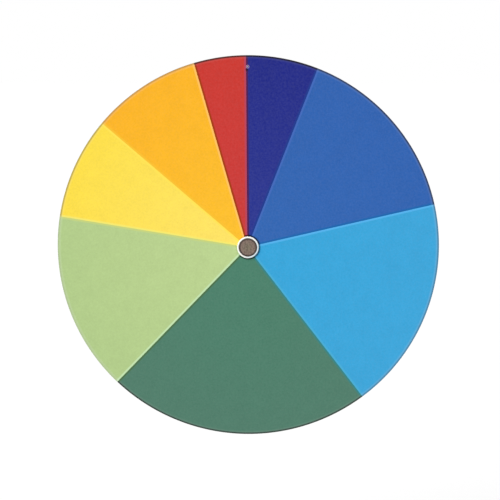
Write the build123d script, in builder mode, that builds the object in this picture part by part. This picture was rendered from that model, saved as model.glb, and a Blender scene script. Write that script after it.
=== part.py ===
from build123d import *
from math import acos, cos, pi, radians, sin, tan
import os

# Colour-mixing disc with a hand crank, made to be held by its rod in a laboratory stand clamp.
# A large gear on the crank axle drives a pinion on the disc's spindle, between two plates.
# Millimetres. +Z is up, the disc faces -Y, and +Y runs back along the stand rod.
# The origin is on the rod's axis, at the back face of the rear plate.

# ------------------------------------------------------------------ driving dimensions

# Colour disc and its coloured films. Sector angles run clockwise from the top, seen from the front.
DISC_RADIUS = 125.0
DISC_THICKNESS = 2.0
DISC_RIM_CHAMFER = 0.2
SECTOR_START_ANGLE = -0.3
SECTOR_ANGLES = {
    "indigo": 21.5,
    "blue": 55.4,
    "light_blue": 65.9,
    "dark_green": 81.3,
    "light_green": 55.4,
    "yellow": 31.5,
    "orange": 33.3,
    "red": 15.7,
}
FILM_THICKNESS = 0.2
FILM_MARGIN = 0.35
FILM_JOINT_GAP = 0.1
FILM_APEX_X = -0.4
INDEX_HOLE_RADIUS = 0.5
INDEX_SINK_RADIUS = 1.3
INDEX_FROM_RIM = 7.5
INDEX_X = 0.45

# Cup washer and headed spindle at the disc's centre
HEAD_RADIUS = 5.9
HEAD_THICKNESS = 1.2
HEAD_CHAMFER = 0.3
CUP_WALL = 1.25
CUP_FLOOR = 0.6
CUP_HEAD_GAP = 0.2
SPINDLE_RADIUS = 4.0
SPINDLE_TAIL = 5.0

# Disc hub and the four screws that hold the disc to it
HUB_FLANGE_RADIUS = 30.0
HUB_FLANGE_THICKNESS = 4.0
HUB_BOSS_RADIUS = 12.0
HUB_BOSS_LENGTH = 12.0
SCREW_PATTERN_TURN = 45.0
DISC_SCREW_CIRCLE_RADIUS = 22.0
DISC_SCREW_COUNT = 4
DISC_SCREW_RADIUS = 2.0
DISC_SCREW_HEAD_RADIUS = 3.9
GRUB_SCREW_RADIUS = 2.0

# Gear pair
MODULE = 1.25
PRESSURE_ANGLE = radians(20)
PINION_TEETH = 17
GEAR_TEETH = 85
TOOTH_DEPTH_BELOW_PITCH = 1.25 * MODULE
TOOTH_BACKLASH = 0.16
GEAR_WIDTH = 8.0
GEAR_RIM = 8.0
GEAR_WEB_THICKNESS = 3.6
GEAR_PAD_RADIUS = 20.0
GEAR_WINDOW_COUNT = 6
GEAR_WINDOW_RADIUS = 9.0
GEAR_WINDOW_TURN = 30.0
PINION_OVERHANG = 1.0
PINION_BOSS_RADIUS = 8.5
PINION_BOSS_LENGTH = 8.0

# Gear hub on the crank axle
GEAR_HUB_FLANGE_RADIUS = 18.0
GEAR_HUB_FLANGE_THICKNESS = 3.0
GEAR_HUB_BOSS_RADIUS = 11.0
GEAR_HUB_BOSS_LENGTH = 9.2
GEAR_PIN_RADIUS = 1.5
GEAR_SCREW_CIRCLE_RADIUS = 14.5
GEAR_SCREW_COUNT = 4
GEAR_SCREW_RADIUS = 1.5
GEAR_SCREW_HEAD_RADIUS = 2.75
GEAR_SCREW_HEAD_HEIGHT = 1.8
GEAR_SCREW_SLOT = 0.7

# Plates, pillars and their screws
PLATE_THICKNESS = 4.0
PLATE_EDGE_CHAMFER = 0.5
ROD_CORNER_RADIUS = 20.0
CRANK_CORNER_RADIUS = 25.0
PILLAR_CORNER_RADIUS = 10.0
PLATE_WINDOW_RADIUS = 11.0
PLATE_WINDOW_X = 31.0
SPINDLE_DROP = 52.0
PILLAR_RADIUS = 5.0
UPPER_PILLAR_X = 22.0
UPPER_PILLAR_DROP = 26.0
PILLAR_TO_GEAR = 3.0
SCREW_RADIUS = 2.5
SCREW_GRIP = 8.0
SCREW_HEAD_RADIUS = 4.4
SCREW_HEAD_HEIGHT = 3.2
SCREW_SLOT = 1.2

# Bronze bushes, washers and the clip
BUSH_WALL = 2.0
BUSH_FLANGE_WIDTH = 2.2
BUSH_FLANGE_THICKNESS = 2.0
THRUST_WASHER_THICKNESS = 1.2
CLIP_WASHER_THICKNESS = 0.8
CLIP_THICKNESS = 0.8
CLIP_GROOVE_DEPTH = 0.4
CLIP_WIDTH = 2.4
CLIP_OPENING = 3.0

# Stand rod
ROD_RADIUS = 6.0
ROD_LENGTH = 160.0
ROD_END_CHAMFER = 1.0
STUD_RADIUS = 4.0
STUD_NUT_FLATS = 13.0
STUD_NUT_HEIGHT = 6.5
STUD_PROUD = 1.6
STUD_WASHER_RADIUS = 8.0
STUD_WASHER_THICKNESS = 1.6

# Crank axle, arm and grip
AXLE_RADIUS = 5.0
AXLE_PROUD = 1.0
AXLE_SEAT_RADIUS = 4.0
AXLE_FLAT = 3.2
ARM_TO_PLATE = 1.0
ARM_TO_SPINDLE = 3.0
ARM_THICKNESS = 5.0
ARM_ROOT_RADIUS = 12.0
ARM_END_RADIUS = 9.0
ARM_EDGE_FILLET = 0.8
ARM_BOSS_RADIUS = 10.0
CRANK_RADIUS = 60.0
CAP_NUT_FLATS = 13.0
CAP_NUT_HEX_HEIGHT = 6.5
CAP_NUT_DOME_RADIUS = 5.6
CAP_NUT_WALL = 1.5
ARM_WASHER_RADIUS = 8.5
ARM_WASHER_THICKNESS = 1.6
GRIP_PIN_RADIUS = 4.0
GRIP_PIN_SPIGOT_RADIUS = 3.0
GRIP_PIN_RIVET_RADIUS = 4.6
GRIP_PIN_HEAD_RADIUS = 6.5
GRIP_PIN_HEAD_HEIGHT = 2.4
GRIP_LENGTH = 80.0
GRIP_FERRULE_SEAT_RADIUS = 9.3
GRIP_NECK_RADIUS = 10.6
GRIP_BELLY_RADIUS = 13.5
GRIP_TAIL_RADIUS = 11.5
GRIP_TAIL_ROUND = 3.0
GRIP_BELLY_FROM_TAIL = 28.0
GRIP_SOCKET_RADIUS = 7.5
GRIP_SOCKET_DEPTH = 6.0
GRIP_WASHER_THICKNESS = 1.0
FERRULE_WALL = 0.7
FERRULE_LENGTH = 9.0

# Clearances
RUN_GAP = 0.04        # radial, shaft in a bronze bush
GRIP_GAP = 0.1        # radial, wooden grip on its pin
SEAT_GAP = 0.05       # radial, a piece seated or screwed in its hole
END_FLOAT = 0.3       # along a shaft, between faces that turn on each other
EDGE_BREAK = 0.4      # small chamfers on turned and drilled pieces

# ------------------------------------------------------------------ places worked out from them

CENTRE_DISTANCE = MODULE * (PINION_TEETH + GEAR_TEETH) / 2
SPINDLE_Z = -SPINDLE_DROP
CRANK_Z = SPINDLE_Z - CENTRE_DISTANCE
GRIP_Z = CRANK_Z - CRANK_RADIUS
GEAR_TIP_RADIUS = MODULE * GEAR_TEETH / 2 + MODULE
GEAR_ROOT_RADIUS = MODULE * GEAR_TEETH / 2 - TOOTH_DEPTH_BELOW_PITCH

# Pillars: two beside the rod, two level with the crank axle and clear of the gear's teeth
SIDE_PILLAR_X = GEAR_TIP_RADIUS + PILLAR_TO_GEAR + PILLAR_RADIUS
PILLAR_CENTRES = [
    (UPPER_PILLAR_X, -UPPER_PILLAR_DROP),
    (-UPPER_PILLAR_X, -UPPER_PILLAR_DROP),
    (SIDE_PILLAR_X, CRANK_Z),
    (-SIDE_PILLAR_X, CRANK_Z),
]
PLATE_WINDOW_Z = SPINDLE_Z - CENTRE_DISTANCE / 2

# Stations along Y. "back" is the face nearer the stand clamp, "front" the face nearer the viewer.
REAR_PLATE_BACK = 0.0
REAR_PLATE_FRONT = REAR_PLATE_BACK - PLATE_THICKNESS
GEAR_HUB_BACK = REAR_PLATE_FRONT - BUSH_FLANGE_THICKNESS - END_FLOAT
GEAR_HUB_FLANGE_BACK = GEAR_HUB_BACK - GEAR_HUB_BOSS_LENGTH
GEAR_BACK = GEAR_HUB_FLANGE_BACK - GEAR_HUB_FLANGE_THICKNESS
GEAR_FRONT = GEAR_BACK - GEAR_WIDTH
AXLE_WASHER_FRONT = GEAR_FRONT - THRUST_WASHER_THICKNESS
FRONT_PLATE_BACK = AXLE_WASHER_FRONT - END_FLOAT - BUSH_FLANGE_THICKNESS
FRONT_PLATE_FRONT = FRONT_PLATE_BACK - PLATE_THICKNESS
PILLAR_LENGTH = REAR_PLATE_FRONT - FRONT_PLATE_BACK
SPINDLE_WASHER_BACK = FRONT_PLATE_FRONT - BUSH_FLANGE_THICKNESS - END_FLOAT
HUB_BACK = SPINDLE_WASHER_BACK - THRUST_WASHER_THICKNESS
HUB_FLANGE_BACK = HUB_BACK - HUB_BOSS_LENGTH
DISC_BACK = HUB_FLANGE_BACK - HUB_FLANGE_THICKNESS
DISC_FRONT = DISC_BACK - DISC_THICKNESS
HEAD_BACK = DISC_FRONT - CUP_FLOOR
HEAD_FRONT = HEAD_BACK - HEAD_THICKNESS
CLIP_WASHER_FRONT = REAR_PLATE_BACK + BUSH_FLANGE_THICKNESS + END_FLOAT / 2
CLIP_FRONT = CLIP_WASHER_FRONT + CLIP_WASHER_THICKNESS
CLIP_BACK = CLIP_FRONT + CLIP_THICKNESS
SPINDLE_BACK = REAR_PLATE_BACK + SPINDLE_TAIL
ARM_FRONT = SPINDLE_BACK + ARM_TO_SPINDLE
ARM_BACK = ARM_FRONT + ARM_THICKNESS
ARM_WASHER_BACK = ARM_BACK + ARM_WASHER_THICKNESS
CAP_NUT_HEX_BACK = ARM_WASHER_BACK + CAP_NUT_HEX_HEIGHT
GRIP_FRONT = ARM_BACK + GRIP_WASHER_THICKNESS + END_FLOAT
GRIP_BACK = GRIP_FRONT + GRIP_LENGTH
GRIP_SOCKET_FLOOR = GRIP_BACK - GRIP_SOCKET_DEPTH
GRIP_END_WASHER_BACK = GRIP_SOCKET_FLOOR + END_FLOAT + GRIP_WASHER_THICKNESS
PINION_FRONT = GEAR_FRONT - PINION_OVERHANG
PINION_BACK = GEAR_BACK + PINION_OVERHANG
PINION_BOSS_BACK = PINION_BACK + PINION_BOSS_LENGTH

# Radii that follow from a fit
CUP_RECESS_RADIUS = HEAD_RADIUS + CUP_HEAD_GAP
CUP_RADIUS = CUP_RECESS_RADIUS + CUP_WALL
SPINDLE_HOLE_RADIUS = SPINDLE_RADIUS + SEAT_GAP
AXLE_HOLE_RADIUS = AXLE_RADIUS + SEAT_GAP
SPINDLE_BUSH_RADIUS = SPINDLE_RADIUS + BUSH_WALL
CRANK_BUSH_RADIUS = AXLE_RADIUS + BUSH_WALL
SPINDLE_WASHER_RADIUS = SPINDLE_BUSH_RADIUS + BUSH_FLANGE_WIDTH

SPINDLE_AXIS = Axis((0, 0, SPINDLE_Z), (0, 1, 0))
CRANK_AXIS = Axis((0, 0, CRANK_Z), (0, 1, 0))
GRIP_AXIS = Axis((0, 0, GRIP_Z), (0, 1, 0))
ROD_AXIS = Axis((0, 0, 0), (0, 1, 0))


# ------------------------------------------------------------------ shared forms

def facing(y, z=0.0):
    """Plane at depth y, centred on height z: its x is +X, its y is +Z, and it faces the viewer."""
    return Plane(origin=(0, y, z), x_dir=(1, 0, 0), z_dir=(0, -1, 0))


def turning_plane(z, y=0.0):
    """Plane through the turning axis at height z: its x runs back along +Y, its y up along +Z."""
    return Plane(origin=(0, y, z), x_dir=(0, 1, 0), z_dir=(1, 0, 0))


def half_section(z, *points):
    """Closed half section from (y, radius) points, to be revolved about the line x = 0 at height z."""
    with BuildSketch(turning_plane(z)) as section:
        with BuildLine():
            Polyline(*points, close=True)
        make_face()
    return section.sketch


def ring_section(z, front, back, inner, outer):
    """Half section of a plain washer or sleeve between two depths."""
    return half_section(z, (front, inner), (front, outer), (back, outer), (back, inner))


def tooth_half_angle(radius, teeth):
    """Half of the angle that one tooth fills at a radius, from its involute."""
    pitch_radius = MODULE * teeth / 2
    base_radius = pitch_radius * cos(PRESSURE_ANGLE)
    roll = acos(min(1.0, base_radius / radius))
    at_pitch = pi / (2 * teeth) - TOOTH_BACKLASH / (4 * pitch_radius)
    return at_pitch + (tan(PRESSURE_ANGLE) - PRESSURE_ANGLE) - (tan(roll) - roll)


def gear_outline(plane, teeth, first_tooth):
    """Spur gear face: involute flanks as arcs through three points, arcs at the tips and roots."""
    pitch_radius = MODULE * teeth / 2
    root = pitch_radius - TOOTH_DEPTH_BELOW_PITCH
    tip = pitch_radius + MODULE
    foot = max(root, pitch_radius * cos(PRESSURE_ANGLE))
    middle = (foot + tip) / 2
    step = 2 * pi / teeth

    def at(radius, angle):
        return (radius * cos(angle), radius * sin(angle))

    with BuildSketch(plane) as face:
        with BuildLine():
            for tooth in range(teeth):
                centre = first_tooth + tooth * step
                spread = {r: tooth_half_angle(r, teeth) for r in (foot, middle, tip)}
                rise = [at(r, centre - spread[r]) for r in (foot, middle, tip)]
                fall = [at(r, centre + spread[r]) for r in (tip, middle, foot)]
                if foot > root:
                    Line(at(root, centre - spread[foot]), rise[0])
                ThreePointArc(*rise)
                ThreePointArc(rise[-1], at(tip, centre), fall[0])
                ThreePointArc(*fall)
                if foot > root:
                    Line(fall[-1], at(root, centre + spread[foot]))
                gap_start = at(root, centre + spread[foot])
                gap_end = at(root, centre + step - spread[foot])
                ThreePointArc(gap_start, at(root, centre + step / 2), gap_end)
        make_face()
    return face.sketch


def plate(front):
    """One frame plate: round corners at the rod, the crank and both side pillars, and its holes."""
    with BuildPart() as blank:
        with BuildSketch(facing(front + PLATE_THICKNESS)):
            Circle(ROD_CORNER_RADIUS)
            with Locations((0, CRANK_Z)):
                Circle(CRANK_CORNER_RADIUS)
            with Locations((SIDE_PILLAR_X, CRANK_Z), (-SIDE_PILLAR_X, CRANK_Z)):
                Circle(PILLAR_CORNER_RADIUS)
            make_hull()
        extrude(amount=PLATE_THICKNESS)
        chamfer(blank.edges(), PLATE_EDGE_CHAMFER)
        with BuildSketch(facing(front)):
            with Locations((PLATE_WINDOW_X, PLATE_WINDOW_Z), (-PLATE_WINDOW_X, PLATE_WINDOW_Z)):
                Circle(PLATE_WINDOW_RADIUS)
            with Locations(*PILLAR_CENTRES):
                Circle(SCREW_RADIUS + SEAT_GAP)
            with Locations((0, SPINDLE_Z)):
                Circle(SPINDLE_BUSH_RADIUS + SEAT_GAP)
            with Locations((0, CRANK_Z)):
                Circle(CRANK_BUSH_RADIUS + SEAT_GAP)
        extrude(amount=-PLATE_THICKNESS, mode=Mode.SUBTRACT)
    return blank.part


def pillar_screws(face_y, outward):
    """Four slotted cheese-head screws. outward is -1 on the front plate and +1 on the rear plate."""
    head_end = face_y + outward * SCREW_HEAD_HEIGHT
    with BuildPart() as screws:
        with BuildSketch(facing(face_y)):
            with Locations(*PILLAR_CENTRES):
                Circle(SCREW_HEAD_RADIUS)
        extrude(amount=-outward * SCREW_HEAD_HEIGHT)
        chamfer(screws.edges().filter_by_position(Axis.Y, head_end, head_end), EDGE_BREAK)
        with BuildSketch(facing(face_y)):
            with Locations(*PILLAR_CENTRES):
                Circle(SCREW_RADIUS)
        extrude(amount=outward * (PLATE_THICKNESS + SCREW_GRIP))
        with BuildSketch(facing(head_end)):
            with Locations(*PILLAR_CENTRES):
                Rectangle(2 * SCREW_HEAD_RADIUS, SCREW_SLOT)
        extrude(amount=outward * SCREW_SLOT, mode=Mode.SUBTRACT)
    return screws.part


def bush(z, bore_radius, plate_front, flange_outward):
    """Flanged bush in a plate. flange_outward is -1 for a flange on the plate's front, +1 behind."""
    outer = bore_radius + BUSH_WALL
    plate_back = plate_front + PLATE_THICKNESS
    face = plate_front if flange_outward < 0 else plate_back
    far = plate_back if flange_outward < 0 else plate_front
    flange_end = face + flange_outward * BUSH_FLANGE_THICKNESS
    inner = bore_radius + RUN_GAP
    with BuildPart() as sleeve:
        section = half_section(
            z,
            (far, inner),
            (far, outer),
            (face, outer),
            (face, outer + BUSH_FLANGE_WIDTH),
            (flange_end, outer + BUSH_FLANGE_WIDTH),
            (flange_end, inner),
        )
        revolve(section, axis=Axis((0, 0, z), (0, 1, 0)))
    return sleeve.part


def save(piece, name):
    """Label a finished piece and write it as its own STEP file."""
    piece.label = name
    export_step(piece, f"parts/{name}.step")


os.makedirs("parts", exist_ok=True)

# ------------------------------------------------------------------ colour disc

index_z = SPINDLE_Z + DISC_RADIUS - INDEX_FROM_RIM

with BuildPart() as disc_plate:
    with BuildSketch(facing(DISC_BACK, SPINDLE_Z)):
        Circle(DISC_RADIUS)
        Circle(SPINDLE_HOLE_RADIUS, mode=Mode.SUBTRACT)
    extrude(amount=DISC_THICKNESS)
    rim_edges = disc_plate.edges().filter_by(GeomType.CIRCLE).sort_by(SortBy.RADIUS)[-2:]
    chamfer(rim_edges, DISC_RIM_CHAMFER)
    with Locations(Location(facing(DISC_FRONT, SPINDLE_Z))):
        with PolarLocations(DISC_SCREW_CIRCLE_RADIUS, DISC_SCREW_COUNT, SCREW_PATTERN_TURN):
            CounterSinkHole(
                DISC_SCREW_RADIUS + SEAT_GAP,
                DISC_SCREW_HEAD_RADIUS + SEAT_GAP,
                DISC_THICKNESS,
            )
    with Locations(Location(facing(DISC_FRONT, index_z))):
        with Locations((INDEX_X, 0)):
            CounterSinkHole(INDEX_HOLE_RADIUS, INDEX_SINK_RADIUS, DISC_THICKNESS)
save(disc_plate.part, "disc_plate")

sector_angle = SECTOR_START_ANGLE
for colour, angle in SECTOR_ANGLES.items():
    edge_angles = [radians(90 - sector_angle), radians(90 - sector_angle - angle)]
    reach = 2 * DISC_RADIUS
    corner_angles = [edge_angles[0], (edge_angles[0] + edge_angles[1]) / 2, edge_angles[1]]
    with BuildPart() as film:
        with BuildSketch(facing(DISC_FRONT, SPINDLE_Z)):
            with Locations((FILM_APEX_X, 0)):
                Polygon(
                    (0, 0),
                    *[(reach * cos(a), reach * sin(a)) for a in corner_angles],
                    align=None,
                )
            offset(amount=-FILM_JOINT_GAP / 2, kind=Kind.INTERSECTION, mode=Mode.REPLACE)
            Circle(DISC_RADIUS - FILM_MARGIN, mode=Mode.INTERSECT)
            Circle(CUP_RADIUS + SEAT_GAP, mode=Mode.SUBTRACT)
            with Locations((INDEX_X, index_z - SPINDLE_Z)):
                Circle(INDEX_SINK_RADIUS, mode=Mode.SUBTRACT)
        extrude(amount=FILM_THICKNESS)
    save(film.part, f"sector_{colour}")
    sector_angle += angle

with BuildPart() as cup_washer:
    cup = half_section(
        SPINDLE_Z,
        (DISC_FRONT, SPINDLE_HOLE_RADIUS),
        (DISC_FRONT, CUP_RADIUS),
        (HEAD_FRONT, CUP_RADIUS),
        (HEAD_FRONT, CUP_RECESS_RADIUS),
        (HEAD_BACK, CUP_RECESS_RADIUS),
        (HEAD_BACK, SPINDLE_HOLE_RADIUS),
    )
    revolve(cup, axis=SPINDLE_AXIS)
    lip_edges = cup_washer.edges().filter_by_position(Axis.Y, HEAD_FRONT, HEAD_FRONT)
    fillet(lip_edges, CUP_WALL / 4)
save(cup_washer.part, "cup_washer")

with BuildPart() as spindle:
    groove = SPINDLE_RADIUS - CLIP_GROOVE_DEPTH
    stepped_shaft = half_section(
        SPINDLE_Z,
        (HEAD_FRONT, 0),
        (HEAD_FRONT, HEAD_RADIUS - HEAD_CHAMFER),
        (HEAD_FRONT + HEAD_CHAMFER, HEAD_RADIUS),
        (HEAD_BACK, HEAD_RADIUS),
        (HEAD_BACK, SPINDLE_RADIUS),
        (CLIP_FRONT, SPINDLE_RADIUS),
        (CLIP_FRONT, groove),
        (CLIP_BACK, groove),
        (CLIP_BACK, SPINDLE_RADIUS),
        (SPINDLE_BACK - EDGE_BREAK, SPINDLE_RADIUS),
        (SPINDLE_BACK, SPINDLE_RADIUS - EDGE_BREAK),
        (SPINDLE_BACK, 0),
    )
    revolve(stepped_shaft, axis=SPINDLE_AXIS)
save(spindle.part, "spindle")

# Hub behind the disc: flange, boss and a radial hole for its grub screw
grub_y = (HUB_BACK + HUB_FLANGE_BACK) / 2
grub_plane = turning_plane(SPINDLE_Z, grub_y)

with BuildPart() as disc_hub:
    flanged = half_section(
        SPINDLE_Z,
        (HUB_BACK, SPINDLE_HOLE_RADIUS),
        (HUB_BACK, HUB_BOSS_RADIUS - EDGE_BREAK),
        (HUB_BACK - EDGE_BREAK, HUB_BOSS_RADIUS),
        (HUB_FLANGE_BACK, HUB_BOSS_RADIUS),
        (HUB_FLANGE_BACK, HUB_FLANGE_RADIUS - EDGE_BREAK),
        (HUB_FLANGE_BACK - EDGE_BREAK, HUB_FLANGE_RADIUS),
        (DISC_BACK, HUB_FLANGE_RADIUS),
        (DISC_BACK, SPINDLE_HOLE_RADIUS),
    )
    revolve(flanged, axis=SPINDLE_AXIS)
    with BuildSketch(facing(DISC_BACK, SPINDLE_Z)):
        with PolarLocations(DISC_SCREW_CIRCLE_RADIUS, DISC_SCREW_COUNT, SCREW_PATTERN_TURN):
            Circle(DISC_SCREW_RADIUS + SEAT_GAP)
    extrude(amount=-HUB_FLANGE_THICKNESS, mode=Mode.SUBTRACT)
    with BuildSketch(grub_plane):
        Circle(GRUB_SCREW_RADIUS + SEAT_GAP)
    extrude(amount=HUB_BOSS_RADIUS, mode=Mode.SUBTRACT)
save(disc_hub.part, "disc_hub")

with BuildPart() as disc_screws:
    head_depth = DISC_SCREW_HEAD_RADIUS - DISC_SCREW_RADIUS
    with Locations(Location(facing(DISC_FRONT, SPINDLE_Z))):
        with PolarLocations(DISC_SCREW_CIRCLE_RADIUS, DISC_SCREW_COUNT, SCREW_PATTERN_TURN):
            with Locations((0, 0, -head_depth)):
                Cone(
                    DISC_SCREW_RADIUS,
                    DISC_SCREW_HEAD_RADIUS,
                    head_depth,
                    align=(Align.CENTER, Align.CENTER, Align.MIN),
                )
                Cylinder(
                    DISC_SCREW_RADIUS,
                    DISC_THICKNESS + HUB_FLANGE_THICKNESS - head_depth,
                    align=(Align.CENTER, Align.CENTER, Align.MAX),
                )
save(disc_screws.part, "disc_screws")


def grub_screw(plane, boss_radius):
    """Socket grub screw lying along a plane's normal, from the spindle out to the boss surface."""
    socket_depth = GRUB_SCREW_RADIUS
    length = boss_radius - EDGE_BREAK - SPINDLE_RADIUS
    with BuildPart() as grub:
        with BuildSketch(plane.offset(SPINDLE_RADIUS + SEAT_GAP)):
            Circle(GRUB_SCREW_RADIUS)
        extrude(amount=length - SEAT_GAP)
        with BuildSketch(plane.offset(SPINDLE_RADIUS + length)):
            RegularPolygon(GRUB_SCREW_RADIUS / 2, 6)
        extrude(amount=-socket_depth, mode=Mode.SUBTRACT)
    return grub.part


save(grub_screw(grub_plane, HUB_BOSS_RADIUS), "hub_grub_screw")

with BuildPart() as spindle_thrust_washer:
    ring = ring_section(
        SPINDLE_Z, HUB_BACK, SPINDLE_WASHER_BACK, SPINDLE_HOLE_RADIUS, SPINDLE_WASHER_RADIUS
    )
    revolve(ring, axis=SPINDLE_AXIS)
save(spindle_thrust_washer.part, "spindle_thrust_washer")

# ------------------------------------------------------------------ pinion on the spindle

pinion_grub_plane = turning_plane(SPINDLE_Z, (PINION_BACK + PINION_BOSS_BACK) / 2)

with BuildPart() as pinion:
    # A gap between two teeth points straight down, at the large gear's top tooth.
    extrude(
        gear_outline(facing(PINION_BACK, SPINDLE_Z), PINION_TEETH, -pi / 2 + pi / PINION_TEETH),
        amount=PINION_BACK - PINION_FRONT,
    )
    with BuildSketch(facing(PINION_BACK, SPINDLE_Z)):
        Circle(PINION_BOSS_RADIUS)
    extrude(amount=-PINION_BOSS_LENGTH)
    with BuildSketch(facing(PINION_FRONT, SPINDLE_Z)):
        Circle(SPINDLE_HOLE_RADIUS)
    extrude(amount=PINION_FRONT - PINION_BOSS_BACK, mode=Mode.SUBTRACT)
    with BuildSketch(pinion_grub_plane):
        Circle(GRUB_SCREW_RADIUS + SEAT_GAP)
    extrude(amount=PINION_BOSS_RADIUS, mode=Mode.SUBTRACT)
save(pinion.part, "pinion")

save(grub_screw(pinion_grub_plane, PINION_BOSS_RADIUS), "pinion_grub_screw")

with BuildPart() as spindle_rear_washer:
    ring = ring_section(
        SPINDLE_Z, CLIP_WASHER_FRONT, CLIP_FRONT, SPINDLE_HOLE_RADIUS, SPINDLE_WASHER_RADIUS
    )
    revolve(ring, axis=SPINDLE_AXIS)
save(spindle_rear_washer.part, "spindle_rear_washer")

with BuildPart() as spindle_circlip:
    clip_inner = SPINDLE_RADIUS - CLIP_GROOVE_DEPTH + SEAT_GAP
    with BuildSketch(facing(CLIP_BACK, SPINDLE_Z)):
        Circle(clip_inner + CLIP_WIDTH)
        Circle(clip_inner, mode=Mode.SUBTRACT)
        with Locations((0, -clip_inner - CLIP_WIDTH / 2)):
            Rectangle(CLIP_OPENING, 2 * CLIP_WIDTH, mode=Mode.SUBTRACT)
    extrude(amount=CLIP_THICKNESS)
save(spindle_circlip.part, "spindle_circlip")

# ------------------------------------------------------------------ frame: plates, pillars, bushes

save(plate(FRONT_PLATE_FRONT), "front_plate")

with BuildPart() as rear_plate:
    add(plate(REAR_PLATE_FRONT))
    with BuildSketch(facing(REAR_PLATE_FRONT)):
        Circle(STUD_RADIUS + SEAT_GAP)
    extrude(amount=-PLATE_THICKNESS, mode=Mode.SUBTRACT)
save(rear_plate.part, "rear_plate")

with BuildPart() as pillars:
    with BuildSketch(facing(REAR_PLATE_FRONT)):
        with Locations(*PILLAR_CENTRES):
            Circle(PILLAR_RADIUS)
    extrude(amount=PILLAR_LENGTH)
    chamfer(pillars.edges(), EDGE_BREAK)
    with BuildSketch(facing(REAR_PLATE_FRONT), facing(FRONT_PLATE_BACK + SCREW_GRIP + EDGE_BREAK)):
        with Locations(*PILLAR_CENTRES):
            Circle(SCREW_RADIUS + SEAT_GAP)
    extrude(amount=SCREW_GRIP + EDGE_BREAK, mode=Mode.SUBTRACT)
save(pillars.part, "pillars")

save(pillar_screws(FRONT_PLATE_FRONT, -1), "pillar_screws_front")
save(pillar_screws(REAR_PLATE_BACK, 1), "pillar_screws_rear")

save(bush(SPINDLE_Z, SPINDLE_RADIUS, FRONT_PLATE_FRONT, -1), "spindle_bush_front")
save(bush(SPINDLE_Z, SPINDLE_RADIUS, REAR_PLATE_FRONT, 1), "spindle_bush_rear")
save(bush(CRANK_Z, AXLE_RADIUS, FRONT_PLATE_FRONT, 1), "crank_bush_front")
save(bush(CRANK_Z, AXLE_RADIUS, REAR_PLATE_FRONT, -1), "crank_bush_rear")

# ------------------------------------------------------------------ stand rod

STUD_WASHER_FRONT = REAR_PLATE_FRONT - STUD_WASHER_THICKNESS
STUD_NUT_FRONT = STUD_WASHER_FRONT - STUD_NUT_HEIGHT

with BuildPart() as stand_rod:
    rod_end = REAR_PLATE_BACK + ROD_LENGTH
    stud_end = STUD_NUT_FRONT - STUD_PROUD
    rod_section = half_section(
        0,
        (stud_end, 0),
        (stud_end, STUD_RADIUS - EDGE_BREAK),
        (stud_end + EDGE_BREAK, STUD_RADIUS),
        (REAR_PLATE_BACK, STUD_RADIUS),
        (REAR_PLATE_BACK, ROD_RADIUS),
        (rod_end - ROD_END_CHAMFER, ROD_RADIUS),
        (rod_end, ROD_RADIUS - ROD_END_CHAMFER),
        (rod_end, 0),
    )
    revolve(rod_section, axis=ROD_AXIS)
save(stand_rod.part, "stand_rod")

with BuildPart() as rod_washer:
    ring = ring_section(0, STUD_WASHER_FRONT, REAR_PLATE_FRONT, STUD_RADIUS + SEAT_GAP, STUD_WASHER_RADIUS)
    revolve(ring, axis=ROD_AXIS)
save(rod_washer.part, "rod_washer")

with BuildPart() as rod_nut:
    with BuildSketch(facing(STUD_WASHER_FRONT)):
        RegularPolygon(STUD_NUT_FLATS / 2, 6, major_radius=False)
        Circle(STUD_RADIUS + SEAT_GAP, mode=Mode.SUBTRACT)
    extrude(amount=STUD_NUT_HEIGHT)
save(rod_nut.part, "rod_nut")

# ------------------------------------------------------------------ crank gear and its hub

GEAR_WINDOW_CIRCLE = (GEAR_PAD_RADIUS + GEAR_ROOT_RADIUS - (GEAR_RIM - 2 * MODULE)) / 2

with BuildPart() as drive_gear:
    # A tooth points straight up, into the pinion's gap.
    extrude(gear_outline(facing(GEAR_BACK, CRANK_Z), GEAR_TEETH, pi / 2), amount=GEAR_WIDTH)
    recess_depth = (GEAR_WIDTH - GEAR_WEB_THICKNESS) / 2
    with BuildSketch(facing(GEAR_BACK, CRANK_Z), facing(GEAR_FRONT + recess_depth, CRANK_Z)):
        Circle(GEAR_TIP_RADIUS - GEAR_RIM)
        Circle(GEAR_PAD_RADIUS, mode=Mode.SUBTRACT)
    extrude(amount=recess_depth, mode=Mode.SUBTRACT)
    with BuildSketch(facing(GEAR_BACK, CRANK_Z)):
        Circle(AXLE_HOLE_RADIUS)
        with PolarLocations(GEAR_WINDOW_CIRCLE, GEAR_WINDOW_COUNT, GEAR_WINDOW_TURN):
            Circle(GEAR_WINDOW_RADIUS)
        with PolarLocations(GEAR_SCREW_CIRCLE_RADIUS, GEAR_SCREW_COUNT, SCREW_PATTERN_TURN):
            Circle(GEAR_SCREW_RADIUS + SEAT_GAP)
    extrude(amount=GEAR_WIDTH, mode=Mode.SUBTRACT)
save(drive_gear.part, "drive_gear")

gear_pin_y = (GEAR_HUB_BACK + GEAR_HUB_FLANGE_BACK) / 2
gear_pin_plane = turning_plane(CRANK_Z, gear_pin_y)

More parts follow.
